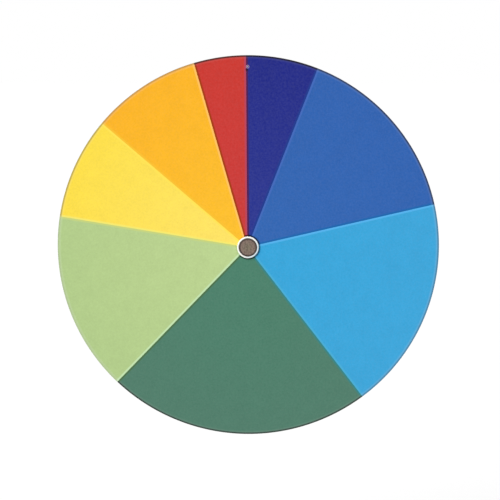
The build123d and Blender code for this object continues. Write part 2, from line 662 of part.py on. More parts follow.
with BuildPart() as gear_hub:
    flanged = half_section(
        CRANK_Z,
        (GEAR_HUB_BACK, AXLE_HOLE_RADIUS),
        (GEAR_HUB_BACK, GEAR_HUB_BOSS_RADIUS - EDGE_BREAK),
        (GEAR_HUB_BACK - EDGE_BREAK, GEAR_HUB_BOSS_RADIUS),
        (GEAR_HUB_FLANGE_BACK, GEAR_HUB_BOSS_RADIUS),
        (GEAR_HUB_FLANGE_BACK, GEAR_HUB_FLANGE_RADIUS),
        (GEAR_BACK, GEAR_HUB_FLANGE_RADIUS),
        (GEAR_BACK, AXLE_HOLE_RADIUS),
    )
    revolve(flanged, axis=CRANK_AXIS)
    with BuildSketch(facing(GEAR_HUB_FLANGE_BACK, CRANK_Z)):
        with PolarLocations(GEAR_SCREW_CIRCLE_RADIUS, GEAR_SCREW_COUNT, SCREW_PATTERN_TURN):
            Circle(GEAR_SCREW_RADIUS + SEAT_GAP)
    extrude(amount=GEAR_HUB_FLANGE_THICKNESS, mode=Mode.SUBTRACT)
    with BuildSketch(gear_pin_plane):
        Circle(GEAR_PIN_RADIUS + SEAT_GAP)
    extrude(amount=GEAR_HUB_BOSS_RADIUS, both=True, mode=Mode.SUBTRACT)
save(gear_hub.part, "gear_hub")

with BuildPart() as gear_hub_screws:
    head_end = GEAR_FRONT - GEAR_SCREW_HEAD_HEIGHT
    with BuildSketch(facing(GEAR_FRONT, CRANK_Z)):
        with PolarLocations(GEAR_SCREW_CIRCLE_RADIUS, GEAR_SCREW_COUNT, SCREW_PATTERN_TURN):
            Circle(GEAR_SCREW_HEAD_RADIUS)
    extrude(amount=GEAR_SCREW_HEAD_HEIGHT)
    fillet(gear_hub_screws.edges().filter_by_position(Axis.Y, head_end, head_end), EDGE_BREAK)
    with BuildSketch(facing(GEAR_FRONT, CRANK_Z)):
        with PolarLocations(GEAR_SCREW_CIRCLE_RADIUS, GEAR_SCREW_COUNT, SCREW_PATTERN_TURN):
            Circle(GEAR_SCREW_RADIUS)
    extrude(amount=-(GEAR_WIDTH + GEAR_HUB_FLANGE_THICKNESS))
    with BuildSketch(facing(head_end, CRANK_Z)):
        with PolarLocations(GEAR_SCREW_CIRCLE_RADIUS, GEAR_SCREW_COUNT, SCREW_PATTERN_TURN):
            Rectangle(2 * GEAR_SCREW_HEAD_RADIUS, GEAR_SCREW_SLOT)
    extrude(amount=-GEAR_SCREW_SLOT, mode=Mode.SUBTRACT)
save(gear_hub_screws.part, "gear_hub_screws")

with BuildPart() as gear_pin:
    with BuildSketch(gear_pin_plane):
        Circle(GEAR_PIN_RADIUS)
    extrude(amount=GEAR_HUB_BOSS_RADIUS - EDGE_BREAK, both=True)
save(gear_pin.part, "gear_pin")

with BuildPart() as axle_thrust_washer:
    axle_washer_radius = CRANK_BUSH_RADIUS + BUSH_FLANGE_WIDTH
    ring = ring_section(CRANK_Z, AXLE_WASHER_FRONT, GEAR_FRONT, AXLE_HOLE_RADIUS, axle_washer_radius)
    revolve(ring, axis=CRANK_AXIS)
save(axle_thrust_washer.part, "axle_thrust_washer")

# ------------------------------------------------------------------ crank axle and arm

CAP_NUT_BORE_BACK = CAP_NUT_HEX_BACK + CAP_NUT_WALL
AXLE_BACK = CAP_NUT_BORE_BACK - END_FLOAT
AXLE_FRONT = FRONT_PLATE_FRONT - AXLE_PROUD

with BuildPart() as crank_axle:
    axle_section = half_section(
        CRANK_Z,
        (AXLE_FRONT, 0),
        (AXLE_FRONT, AXLE_RADIUS - EDGE_BREAK),
        (AXLE_FRONT + EDGE_BREAK, AXLE_RADIUS),
        (ARM_FRONT, AXLE_RADIUS),
        (ARM_FRONT, AXLE_SEAT_RADIUS),
        (AXLE_BACK - EDGE_BREAK, AXLE_SEAT_RADIUS),
        (AXLE_BACK, AXLE_SEAT_RADIUS - EDGE_BREAK),
        (AXLE_BACK, 0),
    )
    revolve(axle_section, axis=CRANK_AXIS)
    with BuildSketch(facing(ARM_FRONT, CRANK_Z)):
        with Locations((AXLE_FLAT + AXLE_SEAT_RADIUS / 2, 0), (-AXLE_FLAT - AXLE_SEAT_RADIUS / 2, 0)):
            Rectangle(AXLE_SEAT_RADIUS, 2 * AXLE_SEAT_RADIUS)
    extrude(amount=-ARM_THICKNESS, mode=Mode.SUBTRACT)
    with BuildSketch(gear_pin_plane):
        Circle(GEAR_PIN_RADIUS + SEAT_GAP)
    extrude(amount=2 * AXLE_RADIUS, both=True, mode=Mode.SUBTRACT)
save(crank_axle.part, "crank_axle")

with BuildPart() as crank_arm:
    with BuildSketch(facing(ARM_BACK, CRANK_Z)):
        Circle(ARM_ROOT_RADIUS)
        with Locations((0, -CRANK_RADIUS)):
            Circle(ARM_END_RADIUS)
        make_hull()
    extrude(amount=ARM_THICKNESS)
    fillet(crank_arm.edges(), ARM_EDGE_FILLET)
    with BuildSketch(facing(ARM_FRONT, CRANK_Z)):
        Circle(ARM_BOSS_RADIUS)
    extrude(amount=ARM_FRONT - REAR_PLATE_BACK - ARM_TO_PLATE)
    with BuildSketch(facing(ARM_FRONT, CRANK_Z)):
        Circle(AXLE_HOLE_RADIUS)
    extrude(amount=ARM_FRONT, mode=Mode.SUBTRACT)
    with BuildSketch(facing(ARM_FRONT, CRANK_Z)):
        Circle(AXLE_SEAT_RADIUS + SEAT_GAP)
        Rectangle(2 * (AXLE_FLAT + SEAT_GAP), 4 * AXLE_SEAT_RADIUS, mode=Mode.INTERSECT)
    extrude(amount=-ARM_THICKNESS, mode=Mode.SUBTRACT)
    sink_depth = GRIP_PIN_RIVET_RADIUS - GRIP_PIN_SPIGOT_RADIUS
    rivet_hole = half_section(
        GRIP_Z,
        (ARM_FRONT, 0),
        (ARM_FRONT, GRIP_PIN_RIVET_RADIUS + SEAT_GAP),
        (ARM_FRONT + sink_depth, GRIP_PIN_SPIGOT_RADIUS + SEAT_GAP),
        (ARM_BACK, GRIP_PIN_SPIGOT_RADIUS + SEAT_GAP),
        (ARM_BACK, 0),
    )
    revolve(rivet_hole, axis=GRIP_AXIS, mode=Mode.SUBTRACT)
save(crank_arm.part, "crank_arm")

with BuildPart() as arm_washer:
    ring = ring_section(CRANK_Z, ARM_BACK, ARM_WASHER_BACK, AXLE_SEAT_RADIUS + SEAT_GAP, ARM_WASHER_RADIUS)
    revolve(ring, axis=CRANK_AXIS)
save(arm_washer.part, "arm_washer")

with BuildPart() as arm_cap_nut:
    with BuildSketch(facing(ARM_WASHER_BACK, CRANK_Z)):
        RegularPolygon(CAP_NUT_FLATS / 2, 6, major_radius=False)
    extrude(amount=-CAP_NUT_HEX_HEIGHT)
    dome_section = half_section(
        CRANK_Z,
        (CAP_NUT_HEX_BACK - CAP_NUT_WALL, 0),
        (CAP_NUT_HEX_BACK - CAP_NUT_WALL, CAP_NUT_DOME_RADIUS),
        (CAP_NUT_HEX_BACK + CAP_NUT_WALL, CAP_NUT_DOME_RADIUS),
        (CAP_NUT_HEX_BACK + CAP_NUT_WALL, 0),
    )
    revolve(dome_section, axis=CRANK_AXIS)
    with Locations((0, CAP_NUT_HEX_BACK + CAP_NUT_WALL, CRANK_Z)):
        Sphere(CAP_NUT_DOME_RADIUS)
    with BuildSketch(facing(ARM_WASHER_BACK, CRANK_Z)):
        Circle(AXLE_SEAT_RADIUS + SEAT_GAP)
    extrude(amount=ARM_WASHER_BACK - CAP_NUT_BORE_BACK, mode=Mode.SUBTRACT)
save(arm_cap_nut.part, "arm_cap_nut")

# ------------------------------------------------------------------ grip and its pin

with BuildPart() as grip_pin:
    head_back = GRIP_END_WASHER_BACK + GRIP_PIN_HEAD_HEIGHT
    with BuildSketch(turning_plane(GRIP_Z)):
        with BuildLine():
            Polyline(
                (head_back, 0),
                (ARM_FRONT, 0),
                (ARM_FRONT, GRIP_PIN_RIVET_RADIUS),
                (ARM_FRONT + sink_depth, GRIP_PIN_SPIGOT_RADIUS),
                (ARM_BACK, GRIP_PIN_SPIGOT_RADIUS),
                (ARM_BACK, GRIP_PIN_RADIUS),
                (GRIP_END_WASHER_BACK, GRIP_PIN_RADIUS),
                (GRIP_END_WASHER_BACK, GRIP_PIN_HEAD_RADIUS),
                (GRIP_END_WASHER_BACK + EDGE_BREAK, GRIP_PIN_HEAD_RADIUS),
            )
            dome_edge = (GRIP_END_WASHER_BACK + EDGE_BREAK, GRIP_PIN_HEAD_RADIUS)
            TangentArc((head_back, 0), dome_edge, tangent=(0, 1))
        make_face()
    revolve(axis=GRIP_AXIS)
save(grip_pin.part, "grip_pin")


def grip_washer(front):
    """Plain washer on the grip pin, under its head's radius."""
    back = front + GRIP_WASHER_THICKNESS
    with BuildPart() as washer:
        ring = ring_section(GRIP_Z, front, back, GRIP_PIN_RADIUS + SEAT_GAP, GRIP_PIN_HEAD_RADIUS)
        revolve(ring, axis=GRIP_AXIS)
    return washer.part


save(grip_washer(ARM_BACK), "grip_front_washer")
save(grip_washer(GRIP_END_WASHER_BACK - GRIP_WASHER_THICKNESS), "grip_end_washer")

with BuildPart() as grip:
    ferrule_back = GRIP_FRONT + FERRULE_LENGTH
    with BuildSketch(turning_plane(GRIP_Z)):
        with BuildLine():
            bore = GRIP_PIN_RADIUS + GRIP_GAP
            Polyline(
                (ferrule_back, GRIP_NECK_RADIUS),
                (ferrule_back, GRIP_FERRULE_SEAT_RADIUS),
                (GRIP_FRONT, GRIP_FERRULE_SEAT_RADIUS),
                (GRIP_FRONT, bore),
                (GRIP_SOCKET_FLOOR, bore),
                (GRIP_SOCKET_FLOOR, GRIP_SOCKET_RADIUS),
                (GRIP_BACK, GRIP_SOCKET_RADIUS),
            )
            tail_start = GRIP_BACK - GRIP_TAIL_ROUND
            Line((GRIP_BACK, GRIP_SOCKET_RADIUS), (GRIP_BACK, GRIP_TAIL_RADIUS - GRIP_TAIL_ROUND))
            RadiusArc(
                (GRIP_BACK, GRIP_TAIL_RADIUS - GRIP_TAIL_ROUND),
                (tail_start, GRIP_TAIL_RADIUS),
                -GRIP_TAIL_ROUND,
            )
            Spline(
                (tail_start, GRIP_TAIL_RADIUS),
                (GRIP_BACK - GRIP_BELLY_FROM_TAIL, GRIP_BELLY_RADIUS),
                (ferrule_back, GRIP_NECK_RADIUS),
                tangents=[(-1, 0.2), (-1, 0)],
            )
        make_face()
    revolve(axis=GRIP_AXIS)
save(grip.part, "grip")

with BuildPart() as grip_ferrule:
    ring = ring_section(
        GRIP_Z,
        GRIP_FRONT,
        ferrule_back,
        GRIP_FERRULE_SEAT_RADIUS + SEAT_GAP,
        GRIP_FERRULE_SEAT_RADIUS + SEAT_GAP + FERRULE_WALL,
    )
    revolve(ring, axis=GRIP_AXIS)
    ferrule_edges = grip_ferrule.edges().filter_by(GeomType.CIRCLE).sort_by(SortBy.RADIUS)[-2:]
    fillet(ferrule_edges, FERRULE_WALL / 2)
save(grip_ferrule.part, "grip_ferrule")
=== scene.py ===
from math import acos, atan2, cos, pi, radians, sin, tan

import bmesh
import bpy
from mathutils import Matrix, Vector
from mathutils.geometry import convex_hull_2d


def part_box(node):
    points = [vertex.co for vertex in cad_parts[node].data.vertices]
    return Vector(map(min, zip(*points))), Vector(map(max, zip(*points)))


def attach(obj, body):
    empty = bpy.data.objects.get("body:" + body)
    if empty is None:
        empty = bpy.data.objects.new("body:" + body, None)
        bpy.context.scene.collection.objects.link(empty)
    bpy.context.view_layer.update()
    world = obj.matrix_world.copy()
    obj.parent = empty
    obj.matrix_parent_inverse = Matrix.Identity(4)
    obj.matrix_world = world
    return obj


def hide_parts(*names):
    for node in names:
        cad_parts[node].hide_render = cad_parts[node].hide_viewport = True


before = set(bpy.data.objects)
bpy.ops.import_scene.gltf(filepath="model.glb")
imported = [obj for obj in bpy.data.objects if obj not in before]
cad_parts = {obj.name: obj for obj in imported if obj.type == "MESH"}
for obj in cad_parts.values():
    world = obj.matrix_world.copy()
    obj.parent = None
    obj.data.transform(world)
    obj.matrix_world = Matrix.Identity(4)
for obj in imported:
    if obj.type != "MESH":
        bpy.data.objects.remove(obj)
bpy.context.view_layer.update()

scene = bpy.context.scene
scene.view_settings.view_transform = "Standard"

# ------------ the view
# The disc was photographed almost square on, from a little to its right and a little above, with a
# long lens.

face_centre, aim_shift = Vector((0, -0.0557, -0.052)), Vector((0.00133, 0, -0.00182))
view_turn, view_rise, view_distance = radians(1.009), radians(6.607), 1.050
frame_pixels, focal_pixels = 500, 1602.0
toward_camera = Vector((sin(view_turn) * cos(view_rise), -cos(view_turn) * cos(view_rise), sin(view_rise)))
camera = bpy.data.objects.new("camera", bpy.data.cameras.new("camera"))
camera.location = face_centre + view_distance * toward_camera
camera.rotation_euler = (face_centre + aim_shift - camera.location).to_track_quat("-Z", "Y").to_euler()
camera.data.lens = camera.data.sensor_width * focal_pixels / frame_pixels
scene.collection.objects.link(camera)
scene.camera = camera

# ------------ white background, floor and lamps
# A white studio: an even sky, a pale bench well below the part, a broad lamp from the upper left in
# front and a weaker one from the upper right behind. Camera and mirrored rays see plain white.


class Wire:
    """A socket of a node tree. Sums and products of wires add Math nodes, and node() adds any other."""

    def __init__(self, tree, socket=None):
        self.tree, self.socket = tree, socket

    def node(self, kind, sockets=None, settings=None, out=0):
        node = self.tree.nodes.new(kind)
        for setting, value in (settings or {}).items():
            setattr(node, setting, value)
        for socket, value in (sockets or {}).items():
            if isinstance(value, Wire):
                self.tree.links.new(value.socket, node.inputs[socket])
            else:
                node.inputs[socket].default_value = value
        return Wire(self.tree, node.outputs[out])

    def out(self, name):
        return Wire(self.tree, self.socket.node.outputs[name])

    def math(self, operation, *operands, clamp=False):
        settings = {"operation": operation, "use_clamp": clamp}
        return self.node("ShaderNodeMath", dict(enumerate(operands)), settings)

    def clamped(self):
        return self.math("ADD", self, 0.0, clamp=True)

    def sign(operation):
        return lambda self, other: self.math(operation, self, other)

    __add__ = __radd__ = sign("ADD")
    __mul__ = __rmul__ = sign("MULTIPLY")
    __sub__, __truediv__, __pow__ = sign("SUBTRACT"), sign("DIVIDE"), sign("POWER")

    def __rsub__(self, other):
        return self.math("SUBTRACT", other, self)


def sees_background(tree):
    """1 for rays that look at the background: the camera's, mirrored and refracted ones."""
    rays = Wire(tree).node("ShaderNodeLightPath", out="Is Camera Ray")
    mirrored = rays.math("MAXIMUM", rays, rays.out("Is Glossy Ray"))
    return mirrored.math("MAXIMUM", mirrored, rays.out("Is Transmission Ray"))


sky_level = 0.5
world = bpy.data.worlds.new("studio")
world.use_nodes = True
scene.world = world
seen = sees_background(world.node_tree)
sky = world.node_tree.nodes["Background"]
sky.inputs["Color"].default_value = (1, 1, 1, 1)
world.node_tree.links.new((seen * (1 - sky_level) + sky_level).socket, sky.inputs["Strength"])


def lamp(name, toward, level, spread):
    """A broad distant lamp from a direction, with its level on a white face square to it."""
    light = bpy.data.objects.new(name, bpy.data.lights.new(name, "SUN"))
    light.data.energy = level * pi
    light.data.angle = radians(spread)
    light.rotation_euler = Vector(toward).to_track_quat("Z", "Y").to_euler()
    scene.collection.objects.link(light)


lamp("front_lamp", (-0.50, -0.74, 0.62), 0.70, 35)
lamp("rear_lamp", (0.55, 0.75, 0.55), 0.50, 35)

floor_height, floor_reach = -0.36, 30.0
floor_grey, floor_grey_seen, floor_shine = 0.62, 0.92, 0.62
bench = bpy.data.materials.new("pale_bench")
bench.use_nodes = True
bench.node_tree.nodes.clear()
start = Wire(bench.node_tree)
matt, matt_seen = (
    start.node("ShaderNodeBsdfDiffuse", {"Color": (grey, grey, grey, 1)})
    for grey in (floor_grey, floor_grey_seen)
)
white = start.node("ShaderNodeEmission", {"Color": (1, 1, 1, 1), "Strength": 1.0})
shadowed = start.node("ShaderNodeMixShader", {0: floor_shine, 1: matt_seen, 2: white})
seen = sees_background(bench.node_tree)
surface = start.node("ShaderNodeMixShader", {0: seen, 1: matt, 2: shadowed})
output = bench.node_tree.nodes.new("ShaderNodeOutputMaterial")
bench.node_tree.links.new(surface.socket, output.inputs["Surface"])
floor_mesh = bpy.data.meshes.new("floor")
floor_corners = [
    (x * floor_reach, y * floor_reach, floor_height) for x, y in ((-1, -1), (1, -1), (1, 1), (-1, 1))
]
floor_mesh.from_pydata(floor_corners, [], [(0, 1, 2, 3)])
floor_mesh.materials.append(bench)
floor = bpy.data.objects.new("floor", floor_mesh)
scene.collection.objects.link(floor)

# ------------ colour disc
# A 2 mm aluminium disc, turned on the lathe so that both faces carry fine rings. Its rim is coloured
# dark grey-brown. A small pilot hole near the top is countersunk, and four more take the hub screws.
# The countersink carries a painted highlight on its upper left and painted shade deep inside.

MM = 0.001
spindle_z = -52.0
disc_radius, spindle_hole, rim_ease = 125.0, 4.05, 0.2
pilot_x, pilot_up, pilot_radius, pilot_sink = -0.2, 117.6, 0.6, 1.15
pilot_depth, pilot_end_radius = 1.3, 0.22
hub_screw_circle, hub_screw_radius, hub_screw_head = 22.0, 2.0, 3.9
hub_screw_places = [
    (hub_screw_circle * cos(turn), spindle_z + hub_screw_circle * sin(turn))
    for turn in map(radians, (45, 135, 225, 315))
]
clearance, past = 0.05, 0.1
sharp_angle = radians(32)


def depths(node):
    """Front and back of a CAD node, in millimetres along Y."""
    low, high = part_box(node)
    return low.y / MM, high.y / MM


def mended(mesh, weld=0.0, crack=0.0, outward=False):
    """Weld points that meet, close hair cracks and turn faces outward; distances in metres."""
    work = bmesh.new()
    work.from_mesh(mesh)
    if weld:
        bmesh.ops.remove_doubles(work, verts=work.verts, dist=weld)
    if crack:
        bmesh.ops.dissolve_degenerate(work, dist=crack, edges=work.edges)
    if outward:
        bmesh.ops.recalc_face_normals(work, faces=work.faces)
    work.to_mesh(mesh)
    work.free()


def skin(rows, count, closed=False):
    """Faces between rows that are loops of count points; closed joins the last row to the first."""
    return [
        (row * count + i, row * count + j, (row + 1) % rows * count + j, (row + 1) % rows * count + i)
        for row in range(rows if closed else rows - 1) for i in range(count) for j in [(i + 1) % count]
    ]


def lidded(rows, count):
    """The same for a solid whose first and last rows are its ends."""
    last = (rows - 1) * count
    return skin(rows, count) + [tuple(range(count)), tuple(range(last, last + count))]


def piece_from(name, points, faces):
    """A closed mesh piece from millimetre points, facing outward and smooth except at sharp edges."""
    mesh = bpy.data.meshes.new(name)
    mesh.from_pydata([(x * MM, y * MM, z * MM) for x, y, z in points], [], faces)
    mended(mesh, weld=1e-7, outward=True)
    mesh.shade_smooth()
    mesh.set_sharp_from_angle(angle=sharp_angle)
    piece = bpy.data.objects.new(name, mesh)
    scene.collection.objects.link(piece)
    return piece


def eased(outline):
    """Round the corners of a closed outline of (depth, radius) or (depth, radius, ease) points."""
    points = []
    for i, corner in enumerate(outline):
        here = Vector(corner[:2])
        if len(corner) < 3:
            points.append(here)
            continue
        start, end = (
            here + (Vector(outline[n][:2]) - here).normalized() * corner[2]
            for n in (i - 1, (i + 1) % len(outline))
        )
        for t in (0, 0.25, 0.5, 0.75, 1):
            points.append(start * (1 - t) ** 2 + here * 2 * t * (1 - t) + end * t ** 2)
    return points


def both_ends(front, back, profile):
    """The (way in, ...) points of a profile, run in from the front and out again to the back."""
    return [(front + way, *rest) for way, *rest in profile] + [
        (back - way, *rest) for way, *rest in reversed(profile)]


def lathe(name, height, shape, segments, across=0.0):
    """Closed surface round the axis at a height and an x; shape gives the (depth, radius) loop."""
    points = [
        (across + radius * sin(turn), depth, height + radius * cos(turn))
        for turn in (2 * pi * s / segments for s in range(segments)) for depth, radius in shape(turn)
    ]
    on_axis = [radius < 1e-6 for depth, radius in shape(0)] * segments
    faces = skin(segments, len(shape(0)), closed=True)
    return piece_from(name, points, [face for face in faces if not (on_axis[face[0]] and on_axis[face[1]])])


def turned(name, height, outline, segments=96, across=0.0):
    """Lathe a closed outline of (depth along Y, radius, ease) about the axis at a height and an x."""
    loop = eased(outline)
    return lathe(name, height, lambda turn: loop, segments, across)


def bit(height, side, segments=48, across=0.0):
    """A turned cutter from the (depth, radius) corners of its side."""
    return turned("drill", height, [(side[0][0], 0), *side, (side[-1][0], 0)], segments, across)


def bake(piece):
    """Keep what the modifiers make of a piece as its plain mesh."""
    shaped = piece.evaluated_get(bpy.context.evaluated_depsgraph_get())
    mesh = bpy.data.meshes.new_from_object(shaped)
    piece.modifiers.clear()
    piece.data = mesh


def carve(piece, tools, operation="DIFFERENCE"):
    """Cut tools out of a piece, or weld them to it, for good."""
    for tool in tools:
        knife = piece.modifiers.new("carve", "BOOLEAN")
        knife.operation, knife.solver, knife.object = operation, "EXACT", tool
    bake(piece)
    mended(piece.data, weld=2e-6, crack=1e-6)
    for tool in tools:
        bpy.data.objects.remove(tool)
    return piece


def dress(piece, material):
    """Give a piece its material, and shade broad faces flat beside eased edges."""
    piece.data.materials.clear()
    piece.data.materials.append(material)
    piece.data.shade_smooth()
    piece.data.set_sharp_from_angle(angle=sharp_angle)
    weigh = piece.modifiers.new("weigh", "WEIGHTED_NORMAL")
    weigh.keep_sharp = True
    bake(piece)


def position(material, height, stretch=(1, 1, 1)):
    """Place on the piece in millimetres, measured from the turning axis at a height."""
    start = Wire(material.node_tree).node("ShaderNodeTexCoord", out="Object")
    return start.node("ShaderNodeMapping", {
        "Vector": start,
        "Location": tuple(s * offset for s, offset in zip(stretch, (0, 0, -height))),
        "Scale": tuple(s / MM for s in stretch),
    })


def finish(name, even, height=0.0):
    """A material with what is the same all over set on its shader, and the place on the piece."""
    material = bpy.data.materials.new(name)
    material.use_nodes = True
    shader = material.node_tree.nodes["Principled BSDF"]
    for socket, value in even.items():
        shader.inputs[socket].default_value = value
    return material, position(material, height)


def paint(material, varying):
    """Lead wires to the shader of a material."""
    shader = material.node_tree.nodes["Principled BSDF"]
    for socket, wire in varying.items():
        material.node_tree.links.new(wire.socket, shader.inputs[socket])


def noise(at, size, detail=2.0, rough=0.5):
    """Soft noise from 0 to 1 whose blotches are about size millimetres wide."""
    return at.node("ShaderNodeTexNoise", {
        "Vector": at, "Scale": 1 / size, "Detail": detail, "Roughness": rough,
    })


def rings(radius, pitch):
    """Uneven tool marks from 0 to 1 along a radius or a depth."""
    return radius.node("ShaderNodeTexNoise", {
        "W": radius, "Scale": 1 / pitch, "Detail": 3.0, "Roughness": 0.7,
    }, {"noise_dimensions": "1D"})


def coordinates(at):
    """A place as its way to the right, into the depth and up, and its distance from the axis."""
    across = at.node("ShaderNodeSeparateXYZ", {"Vector": at})
    up = across.out("Z")
    return across, across.out("Y"), up, (across * across + up * up) ** 0.5


def linear(colour):
    """Linear values of a colour that is read on a screen, from 0 to 255."""
    return [tone / 255 / 12.92 if tone <= 10 else ((tone / 255 + 0.055) / 1.055) ** 2.4 for tone in colour]


def between(share, first, second):
    """The colour at a share of the way between two, as wires or screen colours."""
    first, second = (c if isinstance(c, Wire) else (*linear(c), 1) for c in (first, second))
    return share.node("ShaderNodeMix", {0: share, 6: first, 7: second}, {"data_type": "RGBA"}, out=2)


def relief(height, depth):
    """Normal of a surface whose relief is depth millimetres where the height wire is 1."""
    return height.node("ShaderNodeBump", {
        "Height": height, "Distance": depth * MM, "Strength": 1.0,
    })


disc_front, disc_back = depths("disc_plate")
disc = turned("colour_disc", spindle_z, both_ends(disc_front, disc_back, [
    (0, spindle_hole), (0, disc_radius, rim_ease),
]), segments=360)
drills = [bit(spindle_z + pilot_up, [
    (disc_front - past, pilot_sink + past), (disc_front + pilot_sink - pilot_radius, pilot_radius),
    (disc_front + pilot_depth, pilot_radius), (disc_front + pilot_depth + 0.1, pilot_end_radius),
    (disc_back + past, pilot_end_radius),
], across=pilot_x)]
hole, sink = hub_screw_radius + clearance, hub_screw_head + clearance
sunk_hole = [(disc_front - past, sink + past), (disc_front + sink - hole, hole), (disc_back + past, hole)]
drills += [bit(height, sunk_hole, across=x) for x, height in hub_screw_places]
carve(disc, drills)

turned_aluminium, at = finish("turned_aluminium", {"Specular IOR Level": 0.5}, spindle_z)
across, depth, up, reach = coordinates(at)
across, up = across - pilot_x, up - pilot_up
# painted shade deep inside the pilot hole
painted_hole_shade = ((depth - disc_front - 0.45) * 5.0).clamped()
tool_marks = rings(reach, 0.55)
# a dark grey-brown band at the rim, not metallic
dark_rim_band = ((reach - 124.3) * 12.0).clamped()
by_pilot = ((1.4 - (across * across + up * up) ** 0.5) * 5.0).clamped()
# painted highlight: the countersink is paler on its upper left
glint = ((up - across) * 0.45 + 0.4).clamped()
bare = between(tool_marks, (196, 198, 201), (222, 223, 225))
sunk = between(painted_hole_shade, between(glint, (128, 118, 176), (232, 188, 214)), (36, 32, 38))
paint(turned_aluminium, {
    "Base Color": between(dark_rim_band, between(by_pilot, bare, sunk), (66, 58, 50)),
    "Metallic": 1 - dark_rim_band.math("MAXIMUM", dark_rim_band, by_pilot),
    "Roughness": 0.24 + tool_marks * 0.16 + noise(at, 9.0) * 0.08,
    "Normal": relief(tool_marks, 0.02),
})
dress(disc, turned_aluminium)
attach(disc, "disc")
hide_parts("disc_plate")

# ------------ coloured films
# Eight thin sheets of printed film with a satin face, cut with a blade and stuck side by side. They
# meet on a point just left of the spindle. Along each cut edge a fine line is painted, a highlight on
# the lighter film and a shadow on the darker one.

film_radius, film_apex, film_gap, cup_hole, first_bearing = 124.9, -0.4, 0.01, 7.15, -0.4
films = {
    # name: angle, colour near the centre, colour near the rim, painted edge line (highlight on the
    # lighter film, shadow on the darker) at the leading edge and at the trailing edge, and the strengths of
    # the painted shade by the cup washer and of the darker band at the rim
    "indigo": (21.75, (40, 52, 143), (27, 36, 131), (74, 30, 80), (34, 58, 138), 0.97, 1.1),
    "blue": (55.55, (46, 100, 176), (44, 96, 174), (66, 104, 182), (30, 100, 168), 0.85, 0.8),
    "light_blue": (65.6, (50, 164, 217), (57, 163, 215), (84, 174, 230), (72, 168, 208), 0.6, 0.5),
    "dark_green": (81.3, (71, 127, 104), (78, 123, 104), (58, 129, 128), (74, 110, 74), 0.75, 0.85),
    "light_green": (55.5, (187, 210, 143), (176, 202, 136), (192, 222, 172), (192, 206, 124), 0.15, 0.15),
    "yellow": (31.3, (253, 226, 102), (251, 221, 68), (240, 226, 108), (254, 223, 84), 0.05, 0.5),
    "orange": (33.3, (251, 191, 39), (249, 178, 29), (242, 188, 50), (253, 190, 96), 0.15, 0.4),
    "red": (15.7, (201, 56, 55), (201, 53, 44), (160, 56, 14), (178, 68, 92), 0.9, 0.95),
}


def circle_hit(apex, direction, radius):
    """Where a line from a point inside a circle about the origin leaves it."""
    along = -apex.dot(direction)
    return apex + direction * (along + (radius ** 2 - apex.dot(apex) + along ** 2) ** 0.5)


def film_sheet(name, start, angle):
    """A wedge of film between two blade cuts, out to the rim and round the cup washer."""
    front, back = depths("sector_" + name)
    arcs = []
    for radius in (cup_hole, film_radius):
        ends = []
        for bearing, side in ((start, 1), (start + angle, -1)):
            way = Vector((sin(radians(bearing)), cos(radians(bearing))))
            inward = Vector((way.y, -way.x)) * side
            hit = circle_hit(Vector((film_apex, 0)) + inward * film_gap / 2, way, radius)
            ends.append(atan2(hit.x, hit.y))
        arcs.append((radius, ends[0], (ends[1] - ends[0]) % (2 * pi)))
    steps, (inner, outer) = max(8, round(angle * 2)), arcs
    corners = (inner, front), (outer, front), (outer, back), (inner, back)
    points = [
        (radius * sin(turn), depth, spindle_z + radius * cos(turn))
        for k in range(steps + 1) for (radius, first, sweep), depth in corners
        for turn in [first + sweep * k / steps]
    ]
    return piece_from("film_" + name, points, lidded(steps + 1, 4))


def film_finish(name, start, angle, inner, outer, leading_light_shade_line, trailing_light_shade_line, shade, rim_band_strength):
    """Satin print: a little paler inward, faintly mottled, with a painted highlight and shadow line
    along its two cut edges, a paler then darker band at its rim, a small dark spot under the pilot hole
    and painted shade by the cup washer.
    """
    material, at = finish("film_" + name, {"Specular IOR Level": 0.06, "IOR": 1.5}, spindle_z)
    across, _, up, reach = coordinates(at)
    colour = between((reach / disc_radius).clamped(), inner, outer)
    mottle = noise(at, 1.1, 3.0, 0.6) * 0.7 + noise(at, 9.0) * 0.3
    colour = between((mottle * 0.3 - 0.1).clamped(), colour, (0, 0, 0))
    colour = between((noise(at, 1.3, 2.0, 0.6) * 0.042 - 0.012).clamped(), colour, (255, 255, 255))
    # painted line along each cut edge: a highlight on the lighter film, a shadow on the darker one
    for bearing, side, edge in ((start, 1, leading_light_shade_line), (start + angle, -1, trailing_light_shade_line)):
        turn = radians(bearing)
        off = (across - film_apex) * (cos(turn) * side) - up * (sin(turn) * side)
        colour = between(((1.5 - off) * 1.7).clamped(), colour, edge)
    # a paler band just inside the rim, then a darker band at the rim, deeper on the darker films
    paler_near_rim = ((reach - 122.6) * 0.9).clamped() * max(0.03, 0.12 - 0.09 * rim_band_strength)
    rim_band_tone = [0.5 * tone + 0.22 * own for tone, own in zip((52, 46, 44), outer)]
    colour = between(paler_near_rim, colour, (255, 255, 255))
    colour = between(((reach - 123.5) * 1.3).clamped() * rim_band_strength, colour, rim_band_tone)
    # a small dark spot painted on the films just under the pilot hole
    to_dark_spot = at.node("ShaderNodeVectorMath", {
        0: at, 1: (pilot_x - 0.6, disc_front, pilot_up - 2.0),
    }, {"operation": "DISTANCE"}, out="Value")
    colour = between(((1.1 - to_dark_spot) * 2.0).clamped() * 0.8, colour, (30, 22, 30))
    colour = between(((8.4 - reach) * 1.6).clamped() * shade, colour, (0, 0, 0))
    paint(material, {
        "Base Color": colour,
        "Roughness": 0.46 + mottle * 0.12,
        "Normal": relief(noise(at, 0.8), 0.012),
    })
    return material


bearing = first_bearing
for name, (angle, *colours) in films.items():
    film = film_sheet(name, bearing, angle)
    if name in ("indigo", "red"):
        punched = [(disc_front - 1, pilot_sink), (disc_back, pilot_sink)]
        carve(film, [bit(spindle_z + pilot_up, punched, across=pilot_x)])
    dress(film, film_finish(name, bearing, angle, *colours))
    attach(film, "disc")
    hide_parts("sector_" + name)
    bearing += angle
